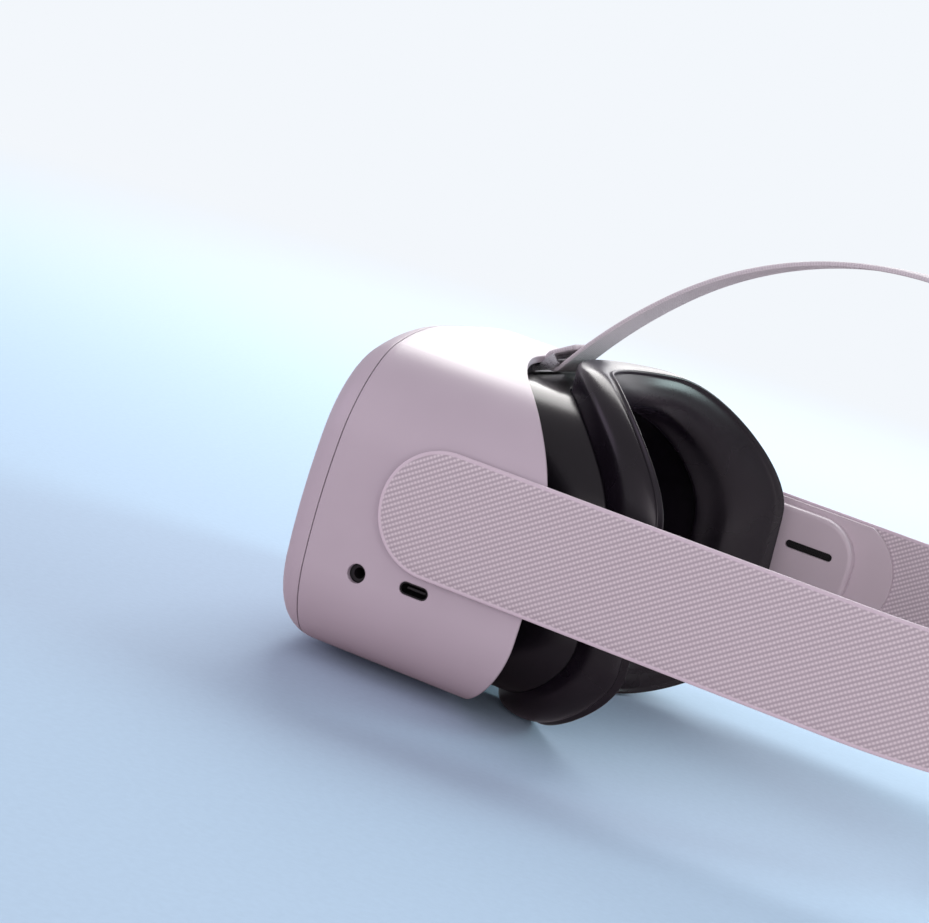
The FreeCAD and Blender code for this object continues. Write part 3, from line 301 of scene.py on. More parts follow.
# ---- Buttons and status light ----------------------------------------------------------------
# The power key and the two volume keys are moulded in the shell's colour and polished a little by
# fingers. The status light is a clear rod that ends flush with the housing's side.
key_plastic = moulded("polycarbonate_key_pale", "#BDB3BE", "#C4BAC5", 0.3, 0.35, 0.004, 0.3)
dress(key_plastic, "power_button", "volume_up_button", "volume_down_button")
light_pipe, pipe_tree = start("acrylic_light_pipe")
pipe_noise = add(pipe_tree, "ShaderNodeTexNoise", {
    "Vector": add(pipe_tree, "ShaderNodeTexCoord").outputs["Object"], "Scale": 900.0})
finish_surface(pipe_tree, add(pipe_tree, "ShaderNodeBsdfPrincipled", {
    "Base Color": ramp(pipe_tree, pipe_noise.outputs["Fac"], [(0.3, "#DDE4EA"), (0.7, "#F2F5F8")]),
    "Roughness": 0.25, "IOR": 1.49, "Transmission Weight": 0.5}))
dress(light_pipe, "status_light")


# ---- Charging port ---------------------------------------------------------------------------
# An oval socket flush with the side. Its steel skin is blackened and its tongue is moulded black,
# so it reads as one dark pill with a faint bright lip.
dress(moulded("steel_blackened_satin", "#0D0C0F", "#131116", 0.4, 0.4, 0.004, 0.1), "charge_port")


# ---- Face frame ------------------------------------------------------------------------------
# A thin black ABS frame that snaps into the bezel and carries the cushion. Its outside is smooth
# and half gloss, so the edge beside the cushion catches a thin line of light.
dress(moulded("abs_half_gloss_black", "#100D13", "#151118", 0.24, 0.6, 0.008, 0.8), "face_frame")


# ---- Face cushion ----------------------------------------------------------------------------
# A ring of firm moulded foam in a smooth coated skin, shaped like a diving mask's seal: bulging
# flanks, a welded bead round the rim and a crowned surface that rolls in towards the eyes.
FACE_R, FACE_HALF = 80.0, 78.0      # the face's curve seen from above, and how far round it is used
FACE_LOW_Y, FACE_SLOPE = 80.0, -8.0 / 114.0
CUSHION_DEPTH = 13.0
FLOOR_GAP = 0.15                    # the lobes end this far above what the visor stands on
SLANT = math.radians(65.0)          # how steeply the nose notch's sides stand
PER_STEP = (14, 5, 12, 8, 18, 8, 22, 10)    # spaces along each piece of the outline
# The cushion's rim and its opening: half width, top, bottom, corner radii above and below, top of the
# nose notch and its radius, and the radius that turns its sides into the lobes.
RIM = (73.0, 114.0, 0.4, 38.0, 32.0, 40.0, 12.0, 13.0)
OPENING = (62.0, 97.0, 15.0, 34.0, 22.0, 53.0, 20.0, 9.0)


def travel(steps, length):
    """Where a chain of (length, turn per mm) pieces gets to, and its heading, from the origin."""
    a = b = h = 0.0
    for run, bend in steps:
        part = min(run, length)
        if abs(bend) < 1e-9:
            a, b = a + part * math.cos(h), b + part * math.sin(h)
        else:
            turned = h + part * bend
            a, b = a + (math.sin(turned) - math.sin(h)) / bend, b - (math.cos(turned) - math.cos(h)) / bend
            h = turned
        length -= part
        if length <= 1e-9:
            break
    return a, b, h


def mask_outline(half, top, bottom, top_r, bottom_r, nose_top, nose_r, lobe_r):
    """Points round a diving mask's outline, seen from the front, with the same count for any size."""
    flank = (nose_top - bottom - (nose_r + lobe_r) * (1 - math.cos(SLANT))) / math.sin(SLANT)
    reach = (nose_r + lobe_r) * math.sin(SLANT) + flank * math.cos(SLANT)
    quarter = math.pi / 2
    steps = [(nose_r * SLANT, -1 / nose_r), (flank, 0), (lobe_r * SLANT, 1 / lobe_r),
             (half - bottom_r - reach, 0), (bottom_r * quarter, 1 / bottom_r),
             (top - bottom - top_r - bottom_r, 0), (top_r * quarter, 1 / top_r), (half - top_r, 0)]
    points, so_far = [(0.0, nose_top)], 0.0
    for (run, _), count in zip(steps, PER_STEP):
        for i in range(1, count + 1):
            x, z, _ = travel(steps, so_far + run * i / count)
            points.append((x, z + nose_top))
        so_far += run
    points[-1] = (0.0, points[-1][1])
    return points + [(-x, z) for x, z in reversed(points[1:-1])]


def face_y(x, z):
    """How far behind the visor's front the wearer's face is."""
    return FACE_LOW_Y + FACE_SLOPE * z + FACE_R - math.sqrt(FACE_R ** 2 - x ** 2)


# Each ring of the cushion's section: share of the way to the opening, mm further in, mm from the frame.
CUSHION_SECTION = [
    (0, 3.0, 0.25), (0, 1.4, 0.45), (0, 0.5, 1.3), (0, -0.1, 3.0), (0, -0.45, 5.2), (0, -0.5, 7.4),
    (0, -0.3, 9.3), (0, 0.15, 10.8), (0, 0.75, 11.6), (0, 0.45, 12.0), (0, 0.0, 12.35), (0, -0.1, 12.8),
    (0, 0.2, 13.2), (0, 0.75, 13.3), (0, 1.25, 13.0), (0, 1.6, 12.6), (0, 2.1, 12.7), (0.1, 2.0, 13.3),
    (0.26, 1.2, 13.7), (0.42, 0.8, 13.6), (0.58, 0.4, 13.1), (0.71, 0, 12.2), (0.79, 0, 11.0),
    (0.81, 0, 9.0), (0.84, 0, 6.0), (0.92, 0, 3.4), (1, -0.7, 1.2), (1, -2.2, 0.25)]


def finish_piece(bm, name, finish, body, smooth=True):
    """Makes an object from a mesh drawn in mm, in the row frame, with its finish and its body."""
    bmesh.ops.scale(bm, vec=(MM, MM, MM), verts=bm.verts)
    mesh = bpy.data.meshes.new(name)
    bm.to_mesh(mesh)
    bm.free()
    for face in mesh.polygons:
        face.use_smooth = smooth
    piece = bpy.data.objects.new(name, mesh)
    bpy.context.scene.collection.objects.link(piece)
    mesh.materials.append(finish)
    if body:
        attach(piece, body)
    return piece


def cushion_mesh():
    """The section's rings, each laid round between the rim and the opening, bridged one to the next."""
    outer, inner = mask_outline(*RIM), mask_outline(*OPENING)
    bm = bmesh.new()
    rings = []
    for share, inward, depth in CUSHION_SECTION:
        verts = []
        for (ax, az), (bx, bz) in zip(outer, inner):
            width = math.hypot(bx - ax, bz - az)
            t = share + inward / width
            x, z = ax + (bx - ax) * t, max(FLOOR_GAP, az + (bz - az) * t)
            y = face_y(max(-FACE_HALF, min(FACE_HALF, x)), z) - CUSHION_DEPTH + depth
            verts.append(bm.verts.new((x, y - FRONT_TO_MIDDLE, z)))
        rings.append([bm.edges.new(pair) for pair in zip(verts, verts[1:] + verts[:1])])
    for first, second in zip(rings, rings[1:] + rings[:1]):
        bmesh.ops.bridge_loops(bm, edges=first + second)
    bmesh.ops.recalc_face_normals(bm, faces=bm.faces)
    return bm


def skin_finish():
    """Coated foam skin: soft pores 0.7 mm across, a satin top coat and a faint random mottle."""
    made, tree = start("polyurethane_skin_black")
    place = add(tree, "ShaderNodeTexCoord").outputs["Object"]
    pores = add(tree, "ShaderNodeTexVoronoi", {"Vector": place, "Scale": 1 / (0.7 * MM)},
                feature="SMOOTH_F1")
    mottle = add(tree, "ShaderNodeTexNoise", {"Vector": place, "Scale": 45.0, "Detail": 3.0})
    colour = ramp(tree, mottle.outputs["Fac"], [(0.3, "#120E15"), (0.7, "#19141C")])
    rub = add(tree, "ShaderNodeMapRange", {"Value": mottle.outputs["Fac"], "From Min": 0.3,
                                           "From Max": 0.7, "To Min": 0.24, "To Max": 0.32})
    bump = add(tree, "ShaderNodeBump", {"Height": pores.outputs["Distance"], "Distance": 0.02 * MM,
                                        "Strength": 0.45})
    finish_surface(tree, add(tree, "ShaderNodeBsdfPrincipled", {
        "Base Color": colour, "Roughness": rub.outputs["Result"], "IOR": 1.5, "Sheen Weight": 0.07,
        "Sheen Roughness": 0.4, "Sheen Tint": linear("#B6A6C4"), "Normal": bump.outputs["Normal"]}))
    return made


cushion = finish_piece(cushion_mesh(), "face_cushion_skin", skin_finish(), "face_interface")
rounder = cushion.modifiers.new("refine", "SUBSURF")
rounder.levels = rounder.render_levels = 1
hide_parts("face_cushion")


# ---- Side arms and speaker pods --------------------------------------------------------------
# Flat polycarbonate plates turn on steel pins at the visor's sides. A raised pod on the inner face
# of each holds a speaker, which is heard through a slot backed by punched steel mesh.
arm_plastic = moulded("polycarbonate_satin_arm", "#D2C7CE", "#D6CCD3", 0.36, 0.35, 0.006, 0.6)
dress(arm_plastic, "arm_plate_left", "arm_plate_right", "speaker_pod_left", "speaker_pod_right")
MESH_X, MESH_Y, MESH_Z = 87.85, 131.5, 65.5
MESH_LONG, MESH_TALL, MESH_THICK, MESH_BAR = 20.0, 4.4, 0.2, 0.28
HOLES_LONG, HOLES_TALL = 30, 6


def punched_mesh(side):
    """A thin plate with rows of square holes."""
    bm = bmesh.new()
    bmesh.ops.create_grid(bm, x_segments=HOLES_LONG, y_segments=HOLES_TALL, size=0.5)
    bmesh.ops.scale(bm, vec=(MESH_LONG, MESH_TALL, 1), verts=bm.verts)
    made = bmesh.ops.inset_individual(bm, faces=bm.faces[:], thickness=MESH_BAR / 2)
    whole = set(made["faces"])
    holes = [f for f in bm.faces if all(abs(e.calc_face_angle(0.0)) < 0.1 for e in f.edges)
             and f.calc_area() > 0.1 and f not in whole]
    bmesh.ops.delete(bm, geom=holes, context="FACES")
    bmesh.ops.transform(bm, verts=bm.verts, matrix=Matrix(((0, 0, side, side * MESH_X),
                        (1, 0, 0, MESH_Y - FRONT_TO_MIDDLE), (0, 1, 0, MESH_Z), (0, 0, 0, 1))))
    bmesh.ops.recalc_face_normals(bm, faces=bm.faces)
    return bm


# Blackened steel: dark, with only a dull glint on the bars.
mesh_steel = moulded("steel_mesh_blackened", "#0A090B", "#0F0D10", 0.5, 0.3, 0.004, 0.05)
for side, name in ((1, "left"), (-1, "right")):
    grille = finish_piece(punched_mesh(side), "speaker_mesh_" + name, mesh_steel, "strap_loop",
                          smooth=False)
    wall = grille.modifiers.new("sheet", "SOLIDIFY")
    wall.thickness, wall.offset = MESH_THICK * MM, 0


# ---- Side straps -----------------------------------------------------------------------------
# A wide band of two-tone waffle knit over thin foam, cut with a round end and welded along its edge
# into a flat, slightly brighter rim. It is bonded to the arm and bends in behind the ear.
STRAP_X, STRAP_Z, STRAP_R, HINGE_Y = 94.6, 61.0, 20.5, 58.0
ROUND_STEPS, STRAIGHT_STEPS, BEND_STEPS = 48, 12, 24
BEND_R, BEND = 70.0, math.radians(45.0)
DIAGONAL = 44.0
PANEL_X = STRAP_X - BEND_R * (1 - math.cos(BEND)) - DIAGONAL * math.sin(BEND)
BACK_R = PANEL_X / math.cos(BEND)
BAND_HALF = 1.2
STRAIGHT_END = (2 * FRONT_TO_MIDDLE - BAND_HALF - BACK_R * (1 - math.sin(BEND))
                - DIAGONAL * math.cos(BEND) - BEND_R * math.sin(BEND))
# Distance in from the edge, and half the band's thickness there, both in mm.
EDGE_SECTION = [
    (0.0, 0.3), (0.12, 0.52), (0.35, 0.66), (0.7, 0.7), (1.0, 0.64), (1.25, 0.55), (1.6, 0.66),
    (2.2, 0.86), (3.2, 1.0), (5.0, 1.09), (8.5, 1.14), (13.0, 1.17), (20.5, 1.18)]


def band_half(distance):
    """Half the band's thickness at a distance from its edge."""
    for (a, s), (b, t) in zip(EDGE_SECTION, EDGE_SECTION[1:]):
        if distance <= b:
            return s + (t - s) * max(0.0, distance - a) / (b - a)
    return EDGE_SECTION[-1][1]


LOOP_PITCH, ROW_PITCH = 1.2, 1.5
ROW_ANGLE = math.radians(35)        # between the rows and the band
RIM_FROM, RIM_TO = 0.9, 1.35        # the welded rim gives way to the knit between these


def knit_finish():
    """Waffle knit: light loops in slanting rows, with fuzz on the yarn and a plain welded rim."""
    made, tree = start("polyester_waffle_knit")
    sheet = add(tree, "ShaderNodeUVMap", uv_map="cloth").outputs["UV"]
    turned = add(tree, "ShaderNodeVectorRotate", {"Vector": sheet, "Angle": -ROW_ANGLE},
                 rotation_type="Z_AXIS")
    split = add(tree, "ShaderNodeSeparateXYZ", {"Vector": turned.outputs["Vector"]})
    waves = []
    for axis, pitch in (("X", LOOP_PITCH), ("Y", ROW_PITCH)):
        wave = ripple(tree, split.outputs[axis], pitch, "COSINE")
        waves.append(add(tree, "ShaderNodeMath", {0: wave, 1: 0.5, 2: 0.5},
                         operation="MULTIPLY_ADD").outputs["Value"])
    loops = add(tree, "ShaderNodeMath", {0: waves[0], 1: 0.6, 2: 0.4}, operation="MULTIPLY_ADD")
    knit = add(tree, "ShaderNodeMath", {0: loops.outputs["Value"], 1: waves[1]}, operation="MULTIPLY")
    fuzz = add(tree, "ShaderNodeTexNoise", {"Vector": sheet, "Scale": 1 / (0.35 * MM), "Detail": 2.0})
    yarn = add(tree, "ShaderNodeMath", {0: fuzz.outputs["Fac"], 1: 0.35, 2: knit.outputs["Value"]},
               operation="MULTIPLY_ADD")
    cloth = ramp(tree, yarn.outputs["Value"], [(0.1, "#B5AAB3"), (0.55, "#D0C6CD"), (1.0, "#E8E0E4")])
    edge = add(tree, "ShaderNodeAttribute", attribute_name="edge_mm").outputs["Fac"]
    inside = add(tree, "ShaderNodeMapRange", {"Value": edge, "From Min": RIM_FROM, "From Max": RIM_TO})
    colour = add(tree, "ShaderNodeMix", {
        "Factor": inside.outputs["Result"], 6: linear("#E0D3DD"), 7: cloth}, data_type="RGBA")
    depth = add(tree, "ShaderNodeMath", {0: yarn.outputs["Value"], 1: inside.outputs["Result"]},
                operation="MULTIPLY")
    bump = add(tree, "ShaderNodeBump", {"Height": depth.outputs["Value"], "Distance": 0.2 * MM,
                                        "Strength": 0.5})
    rub = add(tree, "ShaderNodeMapRange", {"Value": inside.outputs["Result"], "To Min": 0.45,
                                           "To Max": 0.85})
    finish_surface(tree, add(tree, "ShaderNodeBsdfPrincipled", {
        "Base Color": colour.outputs[2], "Roughness": rub.outputs["Result"], "IOR": 1.5,
        "Sheen Weight": 0.15, "Sheen Roughness": 0.5, "Sheen Tint": linear("#E7DDEA"),
        "Specular IOR Level": 0.3, "Normal": bump.outputs["Normal"]}))
    return made


def mark_cloth(bm, place):
    """Writes each vertex's place on the flat cloth, in metres, as the piece's own UV map."""
    layer = bm.loops.layers.uv.new("cloth")
    for face in bm.faces:
        for loop in face.loops:
            loop[layer].uv = [c * MM for c in place(loop.vert)]


def only(kind, geometry):
    """The parts of one kind in an operator's result."""
    return [part for part in geometry if isinstance(part, kind)]


def draw_out(bm, rim, at, stops):
    """Extrudes an open rim along y from one stop to the next, and closes the far end."""
    for stop in stops:
        made = bmesh.ops.extrude_edge_only(bm, edges=rim)["geom"]
        bmesh.ops.translate(bm, verts=only(bmesh.types.BMVert, made), vec=(0, stop - at, 0))
        rim = only(bmesh.types.BMEdge, made)
        at = stop
    bmesh.ops.contextual_create(bm, geom=rim)
    bmesh.ops.recalc_face_normals(bm, faces=bm.faces)


def side_strap_mesh(side):
    """Half a disc spun from the edge's section, then a straight band, bent in at the back."""
    bm = bmesh.new()
    section = [(STRAP_R - d, t) for d, t in reversed(EDGE_SECTION)]
    around = [(r, t) for r, t in section] + [(r, -t) for r, t in reversed(section)]
    verts = [bm.verts.new((t, HINGE_Y, r)) for r, t in around]
    edges = [bm.edges.new(pair) for pair in zip(verts, verts[1:])]
    bmesh.ops.spin(bm, geom=verts + edges, cent=(0, HINGE_Y, 0), axis=(1, 0, 0), dvec=(0, 0, 0),
                   angle=math.pi, steps=ROUND_STEPS)
    bmesh.ops.remove_doubles(bm, verts=bm.verts, dist=0.001)
    rim = [e for e in bm.edges if e.is_boundary and all(abs(v.co.y - HINGE_Y) < 0.01 for v in e.verts)]
    straight, bent = STRAIGHT_END - HINGE_Y, BEND_R * BEND
    stops = [HINGE_Y + straight * i / STRAIGHT_STEPS for i in range(1, STRAIGHT_STEPS + 1)]
    stops += [STRAIGHT_END + bent * i / BEND_STEPS for i in range(1, BEND_STEPS + 1)]
    draw_out(bm, rim, HINGE_Y, stops)
    mark_cloth(bm, lambda v: (v.co.y, v.co.z))
    edge = bm.verts.layers.float.new("edge_mm")
    for v in bm.verts:
        away = math.hypot(min(0.0, v.co.y - HINGE_Y), v.co.z)
        v[edge] = max(0.0, STRAP_R - away)
        turn = max(0.0, v.co.y - STRAIGHT_END) / BEND_R
        out = BEND_R + v.co.x
        x = STRAP_X - BEND_R + out * math.cos(turn)
        y = min(v.co.y, STRAIGHT_END) + out * math.sin(turn)
        v.co = (side * x, y - FRONT_TO_MIDDLE, v.co.z + STRAP_Z)
    if side < 0:
        bmesh.ops.reverse_faces(bm, faces=bm.faces)
    return bm


knit = knit_finish()
for side, name in ((1, "left"), (-1, "right")):
    strap = finish_piece(side_strap_mesh(side), "side_strap_knit_" + name, knit, "strap_loop")
    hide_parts("side_strap_" + name)


# ---- Back panel ------------------------------------------------------------------------------
# The same knit, cut taller where it cradles the back of the head, with an eye-shaped hole and the
# same welded rim. It carries straight ends that the sliders grip.
PANEL_RISE, PANEL_PEAK = 20.5, 38.0
HOLE_HALF, HOLE_TALL = 38.0, 12.0
PANEL_ARC = BACK_R * (math.pi / 2 - BEND)    # from the middle line to where the straight end starts
PANEL_LONG = DIAGONAL + PANEL_ARC
PANEL_GRID = (120, 18)                       # spaces along the panel, and up each half of it


def panel_at(s):
    """The plan point and outward direction of the panel's middle sheet, s mm from the middle line."""
    turn = min(abs(s), PANEL_ARC) / BACK_R
    past = max(0.0, abs(s) - PANEL_ARC)
    x, y = BACK_R * math.sin(turn), BACK_R * (math.cos(turn) - 1)
    x, y = x + past * math.cos(turn), y - past * math.sin(turn)
    way = 1 if s >= 0 else -1
    middle = 2 * FRONT_TO_MIDDLE - BAND_HALF
    return way * x, middle + y, way * math.sin(turn), math.cos(turn)


def panel_edge(x):
    """The panel's height above its middle line at x, from the welded S-curve of its outline."""
    half = PANEL_X - 2.0
    radius = ((half / 2) ** 2 + ((PANEL_PEAK - PANEL_RISE) / 2) ** 2) / (PANEL_PEAK - PANEL_RISE)
    if abs(x) >= half:
        return PANEL_RISE
    if abs(x) >= half / 2:
        return PANEL_RISE + radius - math.sqrt(radius ** 2 - (half - abs(x)) ** 2)
    return PANEL_PEAK - radius + math.sqrt(radius ** 2 - x * x)


def hole_edge(x):
    """The hole's half height at x."""
    radius = (HOLE_HALF ** 2 + HOLE_TALL ** 2) / (2 * HOLE_TALL)
    if abs(x) >= HOLE_HALF:
        return 0.0
    return HOLE_TALL - radius + math.sqrt(radius ** 2 - x * x)


def panel_mesh():
    """Two flat grids, above and below the middle line, joined beside the hole and given a back."""
    bm = bmesh.new()
    bmesh.ops.create_grid(bm, x_segments=PANEL_GRID[0], y_segments=PANEL_GRID[1], size=1.0)
    flat = bm.verts.layers.float_vector.new("flat")
    for v in bm.verts:
        s, t = v.co.x * PANEL_LONG, (v.co.y + 1) / 2
        t = t * t * (3 - 2 * t)
        x = panel_at(s)[0]
        low, high = hole_edge(x), panel_edge(x)
        v.co = (s, 0, low + (high - low) * t)
    other = bmesh.ops.duplicate(bm, geom=bm.verts[:] + bm.edges[:] + bm.faces[:])["geom"]
    bmesh.ops.scale(bm, vec=(1, 1, -1), verts=only(bmesh.types.BMVert, other))
    bmesh.ops.reverse_faces(bm, faces=only(bmesh.types.BMFace, other))
    bmesh.ops.remove_doubles(bm, verts=bm.verts, dist=0.001)
    edge = bm.verts.layers.float.new("edge_mm")
    for v in bm.verts:
        x, tall = panel_at(v.co.x)[0], abs(v.co.z)
        slope = panel_edge(x + 0.5) - panel_edge(x - 0.5)
        to_rim = (panel_edge(x) - tall) / math.hypot(1, slope)
        if abs(x) < HOLE_HALF:
            slope = hole_edge(x + 0.25) - hole_edge(x - 0.25)
            to_hole = (tall - hole_edge(x)) / math.hypot(1, 2 * slope)
        else:
            to_hole = math.hypot(abs(x) - HOLE_HALF, tall)
        v[edge] = max(0.0, min(to_rim, to_hole))
        v[flat] = v.co
    back = bmesh.ops.duplicate(bm, geom=bm.verts[:] + bm.edges[:] + bm.faces[:])["geom"]
    inner = set(only(bmesh.types.BMVert, back))
    bmesh.ops.reverse_faces(bm, faces=only(bmesh.types.BMFace, back))
    rim = [e for e in bm.edges if e.is_boundary]
    hole = [e for e in rim if all(abs(abs(v.co.z) - hole_edge(panel_at(v.co.x)[0])) < 0.01
                                  and abs(panel_at(v.co.x)[0]) < HOLE_HALF + 1 for v in e.verts)]
    outside = [e for e in rim if e not in hole]
    for v in bm.verts:
        s, z = v.co.x, v.co.z
        x, y, out_x, out_y = panel_at(s)
        offset = band_half(v[edge]) * (-1 if v in inner else 1)
        v.co = (x + out_x * offset, y + out_y * offset - FRONT_TO_MIDDLE, STRAP_Z + z)
    bmesh.ops.bridge_loops(bm, edges=hole)
    bmesh.ops.bridge_loops(bm, edges=outside)
    bmesh.ops.recalc_face_normals(bm, faces=bm.faces)
    mark_cloth(bm, lambda v: (v[flat][0], v[flat][2]))
    return bm


panel = finish_piece(panel_mesh(), "back_panel_knit", knit, "strap_loop")
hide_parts("back_panel")


# ---- Strap sliders ---------------------------------------------------------------------------
# Moulded ladder sliders wrap the band each side of the back panel and set the loop's length. They
# are the arms' plastic, a shade darker, with softly rounded edges.
dress(moulded("polycarbonate_slider", "#B7AEB9", "#BFB6C1", 0.42, 0.35, 0.008, 0.5),
      "strap_slider_left", "strap_slider_right")


# ---- Top strap -------------------------------------------------------------------------------
# Off-white ribbed webbing. It loops round the steel bar behind the visor's brow, is folded back and
# sewn to itself, arches over the head and runs down inside the back panel.
BAR_Y, BAR_Z, LOOP_R = 51.0, 110.0, 2.9
WEB_WIDE, WEB_THICK = 25.0, 1.8
RISE, MID_HEADING, FALL = math.radians(57), math.radians(42), math.radians(58)
RISE_R, PEAK_R = 175.0, 122.0
FOLD_LONG = 8.0             # the sewn-back end
RIB_PITCH, RIB_TALL, RIB_MID, SELVEDGE = 2.6, 0.08, 0.1, 0.9
SECTION_POINTS = 45         # across half the webbing


def top_path():
    """The strap's line in the middle plane: (length, turn per mm) pieces, its start and its heading."""
    gap = 0.1               # between the sewn-back end and the strap
    open_angle = math.atan((2 * LOOP_R - WEB_THICK - gap) / FOLD_LONG)
    first = (BAR_Y + LOOP_R * math.sin(RISE), BAR_Z - LOOP_R * math.cos(RISE))
    y = first[0] + RISE_R * (math.sin(RISE) - math.sin(MID_HEADING)) + PEAK_R * math.sin(MID_HEADING)
    z = first[1] + RISE_R * (math.cos(MID_HEADING) - math.cos(RISE)) + PEAK_R * (1 - math.cos(MID_HEADING))
    # The end lies flat against the panel's inner face, just above the hole.
    inner_r = BACK_R - BAND_HALF
    end_y = 2 * FRONT_TO_MIDDLE - 2 * BAND_HALF - WEB_THICK / 2 - 0.15
    end_y -= inner_r - math.sqrt(inner_r ** 2 - (WEB_WIDE / 2) ** 2)
    end_z = STRAP_Z + HOLE_TALL + 3
    # Two radii that carry the strap from its crest to a vertical end there.
    a, b, c, d = math.sin(FALL), 1 - math.sin(FALL), 1 - math.cos(FALL), math.cos(FALL)
    run, drop = end_y - y, z - end_z
    det = a * d - b * c
    over, down = (run * d - b * drop) / det, (a * drop - c * run) / det
    wrap = math.pi + open_angle
    steps = [(FOLD_LONG, 0), (LOOP_R * wrap, 1 / LOOP_R),
             (RISE_R * (RISE - MID_HEADING), -1 / RISE_R), (PEAK_R * MID_HEADING, -1 / PEAK_R),
             (over * FALL, -1 / over), (down * (math.pi / 2 - FALL), -1 / down)]
    heading = RISE - wrap
    reach = travel(steps, FOLD_LONG + LOOP_R * wrap)
    start_y = first[0] - (reach[0] * math.cos(heading) - reach[1] * math.sin(heading))
    start_z = first[1] - (reach[0] * math.sin(heading) + reach[1] * math.cos(heading))
    return steps, (start_y, start_z), heading


def webbing_section():
    """Half the webbing's section: soft ribs along the strap and a bound edge."""
    ribs = []
    for i in range(SECTION_POINTS - 1):
        x = WEB_WIDE / 2 * i / (SECTION_POINTS - 1)
        rib = RIB_TALL * math.cos(2 * math.pi * x / RIB_PITCH)
        edge = max(0.0, x - (WEB_WIDE / 2 - SELVEDGE)) / SELVEDGE
        ribs.append((x, (WEB_THICK / 2 - RIB_MID + rib) * math.sqrt(max(0.0, 1 - edge ** 2.5))))
    return ribs


def webbing_mesh():
    """The section drawn out to the strap's full length, then bent along its path."""
    steps, (start_y, start_z), heading = top_path()
    half = webbing_section()
    ring = half + [(WEB_WIDE / 2, 0.0)] + [(x, -t) for x, t in reversed(half)]
    ring += [(-x, -t) for x, t in half[1:]] + [(-WEB_WIDE / 2, 0.0)]
    ring += [(-x, t) for x, t in reversed(half[1:])]
    bm = bmesh.new()
    verts = [bm.verts.new((x, 0, t)) for x, t in ring]
    rim = [bm.edges.new(pair) for pair in zip(verts, verts[1:] + verts[:1])]
    bmesh.ops.contextual_create(bm, geom=rim)
    at, stops = 0.0, []
    for run, bend in steps:
        spacing = 0.6 if abs(bend) > 0.1 else 2.2        # finer round the bar
        count = max(1, math.ceil(run / spacing))
        stops += [at + run * (i + 1) / count for i in range(count)]
        at += run
    draw_out(bm, rim, 0.0, stops)
    mark_cloth(bm, lambda v: (v.co.y, v.co.x))
    for v in bm.verts:
        a, b, turned = travel(steps, v.co.y)
        y = start_y + a * math.cos(heading) - b * math.sin(heading)
        z = start_z + a * math.sin(heading) + b * math.cos(heading)
        turned += heading
        v.co = (v.co.x, y - v.co.z * math.sin(turned) - FRONT_TO_MIDDLE, z + v.co.z * math.cos(turned))
    return bm


def webbing_finish():
    """Ribbed polypropylene webbing: fine warp yarns with the weft showing across them."""
    made, tree = start("polypropylene_webbing_pale")
    sheet = add(tree, "ShaderNodeUVMap", uv_map="cloth").outputs["UV"]
    split = add(tree, "ShaderNodeSeparateXYZ", {"Vector": sheet})
    weft = ripple(tree, split.outputs["X"], 0.9, "SINE")
    warp = ripple(tree, split.outputs["Y"], 1.3, "SINE")
    weave = add(tree, "ShaderNodeMath", {0: weft, 1: 0.4, 2: warp}, operation="MULTIPLY_ADD")
    fuzz = add(tree, "ShaderNodeTexNoise", {"Vector": sheet, "Scale": 1 / (0.5 * MM), "Detail": 2.0})
    shade = add(tree, "ShaderNodeMapRange", {"Value": weave.outputs["Value"], "From Min": -1.4,
                                             "From Max": 1.4})
    blend = add(tree, "ShaderNodeMath", {0: fuzz.outputs["Fac"], 1: 0.4, 2: shade.outputs["Result"]},
                operation="MULTIPLY_ADD")
    bump = add(tree, "ShaderNodeBump", {"Height": blend.outputs["Value"], "Distance": 0.12 * MM,
                                        "Strength": 0.6})
    cloth = ramp(tree, blend.outputs["Value"], [(0.1, "#BDB6BC"), (0.6, "#D5CFD4"), (1.0, "#E3DEE2")])
    finish_surface(tree, add(tree, "ShaderNodeBsdfPrincipled", {
        "Base Color": cloth, "Roughness": 0.7, "IOR": 1.5, "Sheen Weight": 0.1,
        "Sheen Roughness": 0.5, "Specular IOR Level": 0.35, "Normal": bump.outputs["Normal"]}))
    return made


webbing = finish_piece(webbing_mesh(), "top_strap_webbing", webbing_finish(), None)
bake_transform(webbing)
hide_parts("top_strap")


# ---- Studio ----------------------------------------------------------------------------------
# A pale matt floor fades into the same pale surround. A high key light and a long low one stand on
# the far side, a cool one behind, and two soft fills keep the near side and the front even.
SURROUND = "#F3F7FC"
FLOOR_NEAR, FLOOR_FAR = 0.45, 1.6       # metres from the middle over which the floor fades
FLOOR_R, FLOOR_DROP = 60000.0, 0.2


def floor_finish():
    """Pale blue backdrop paper. The light that it throws back at the object is nearly grey."""
    made, tree = start("paper_backdrop_pale")
    place = add(tree, "ShaderNodeTexCoord").outputs["Object"]
    away = add(tree, "ShaderNodeVectorMath", {0: place}, operation="LENGTH")
    fade = add(tree, "ShaderNodeMapRange", {"Value": away.outputs["Value"], "From Min": FLOOR_NEAR,
                                            "From Max": FLOOR_FAR}, interpolation_type="SMOOTHSTEP")
    fibre = add(tree, "ShaderNodeTexNoise", {"Vector": place, "Scale": 400.0, "Detail": 3.0})
    blue = ramp(tree, fibre.outputs["Fac"], [(0.2, "#BED8EE"), (0.8, "#C3DDF3")])
    light = add(tree, "ShaderNodeLightPath")
    paper = add(tree, "ShaderNodeMix", {
        "Factor": light.outputs["Is Camera Ray"], 6: linear("#BDB4BA"), 7: blue}, data_type="RGBA")
    near = add(tree, "ShaderNodeBsdfPrincipled", {"Base Color": paper.outputs[2], "Roughness": 0.9,
                                                  "Specular IOR Level": 0.1})
    far = add(tree, "ShaderNodeEmission", {"Color": linear(SURROUND), "Strength": 1.0})
    finish_surface(tree, add(tree, "ShaderNodeMixShader", {
        0: fade.outputs["Result"], 1: near.outputs[0], 2: far.outputs[0]}))
    return made


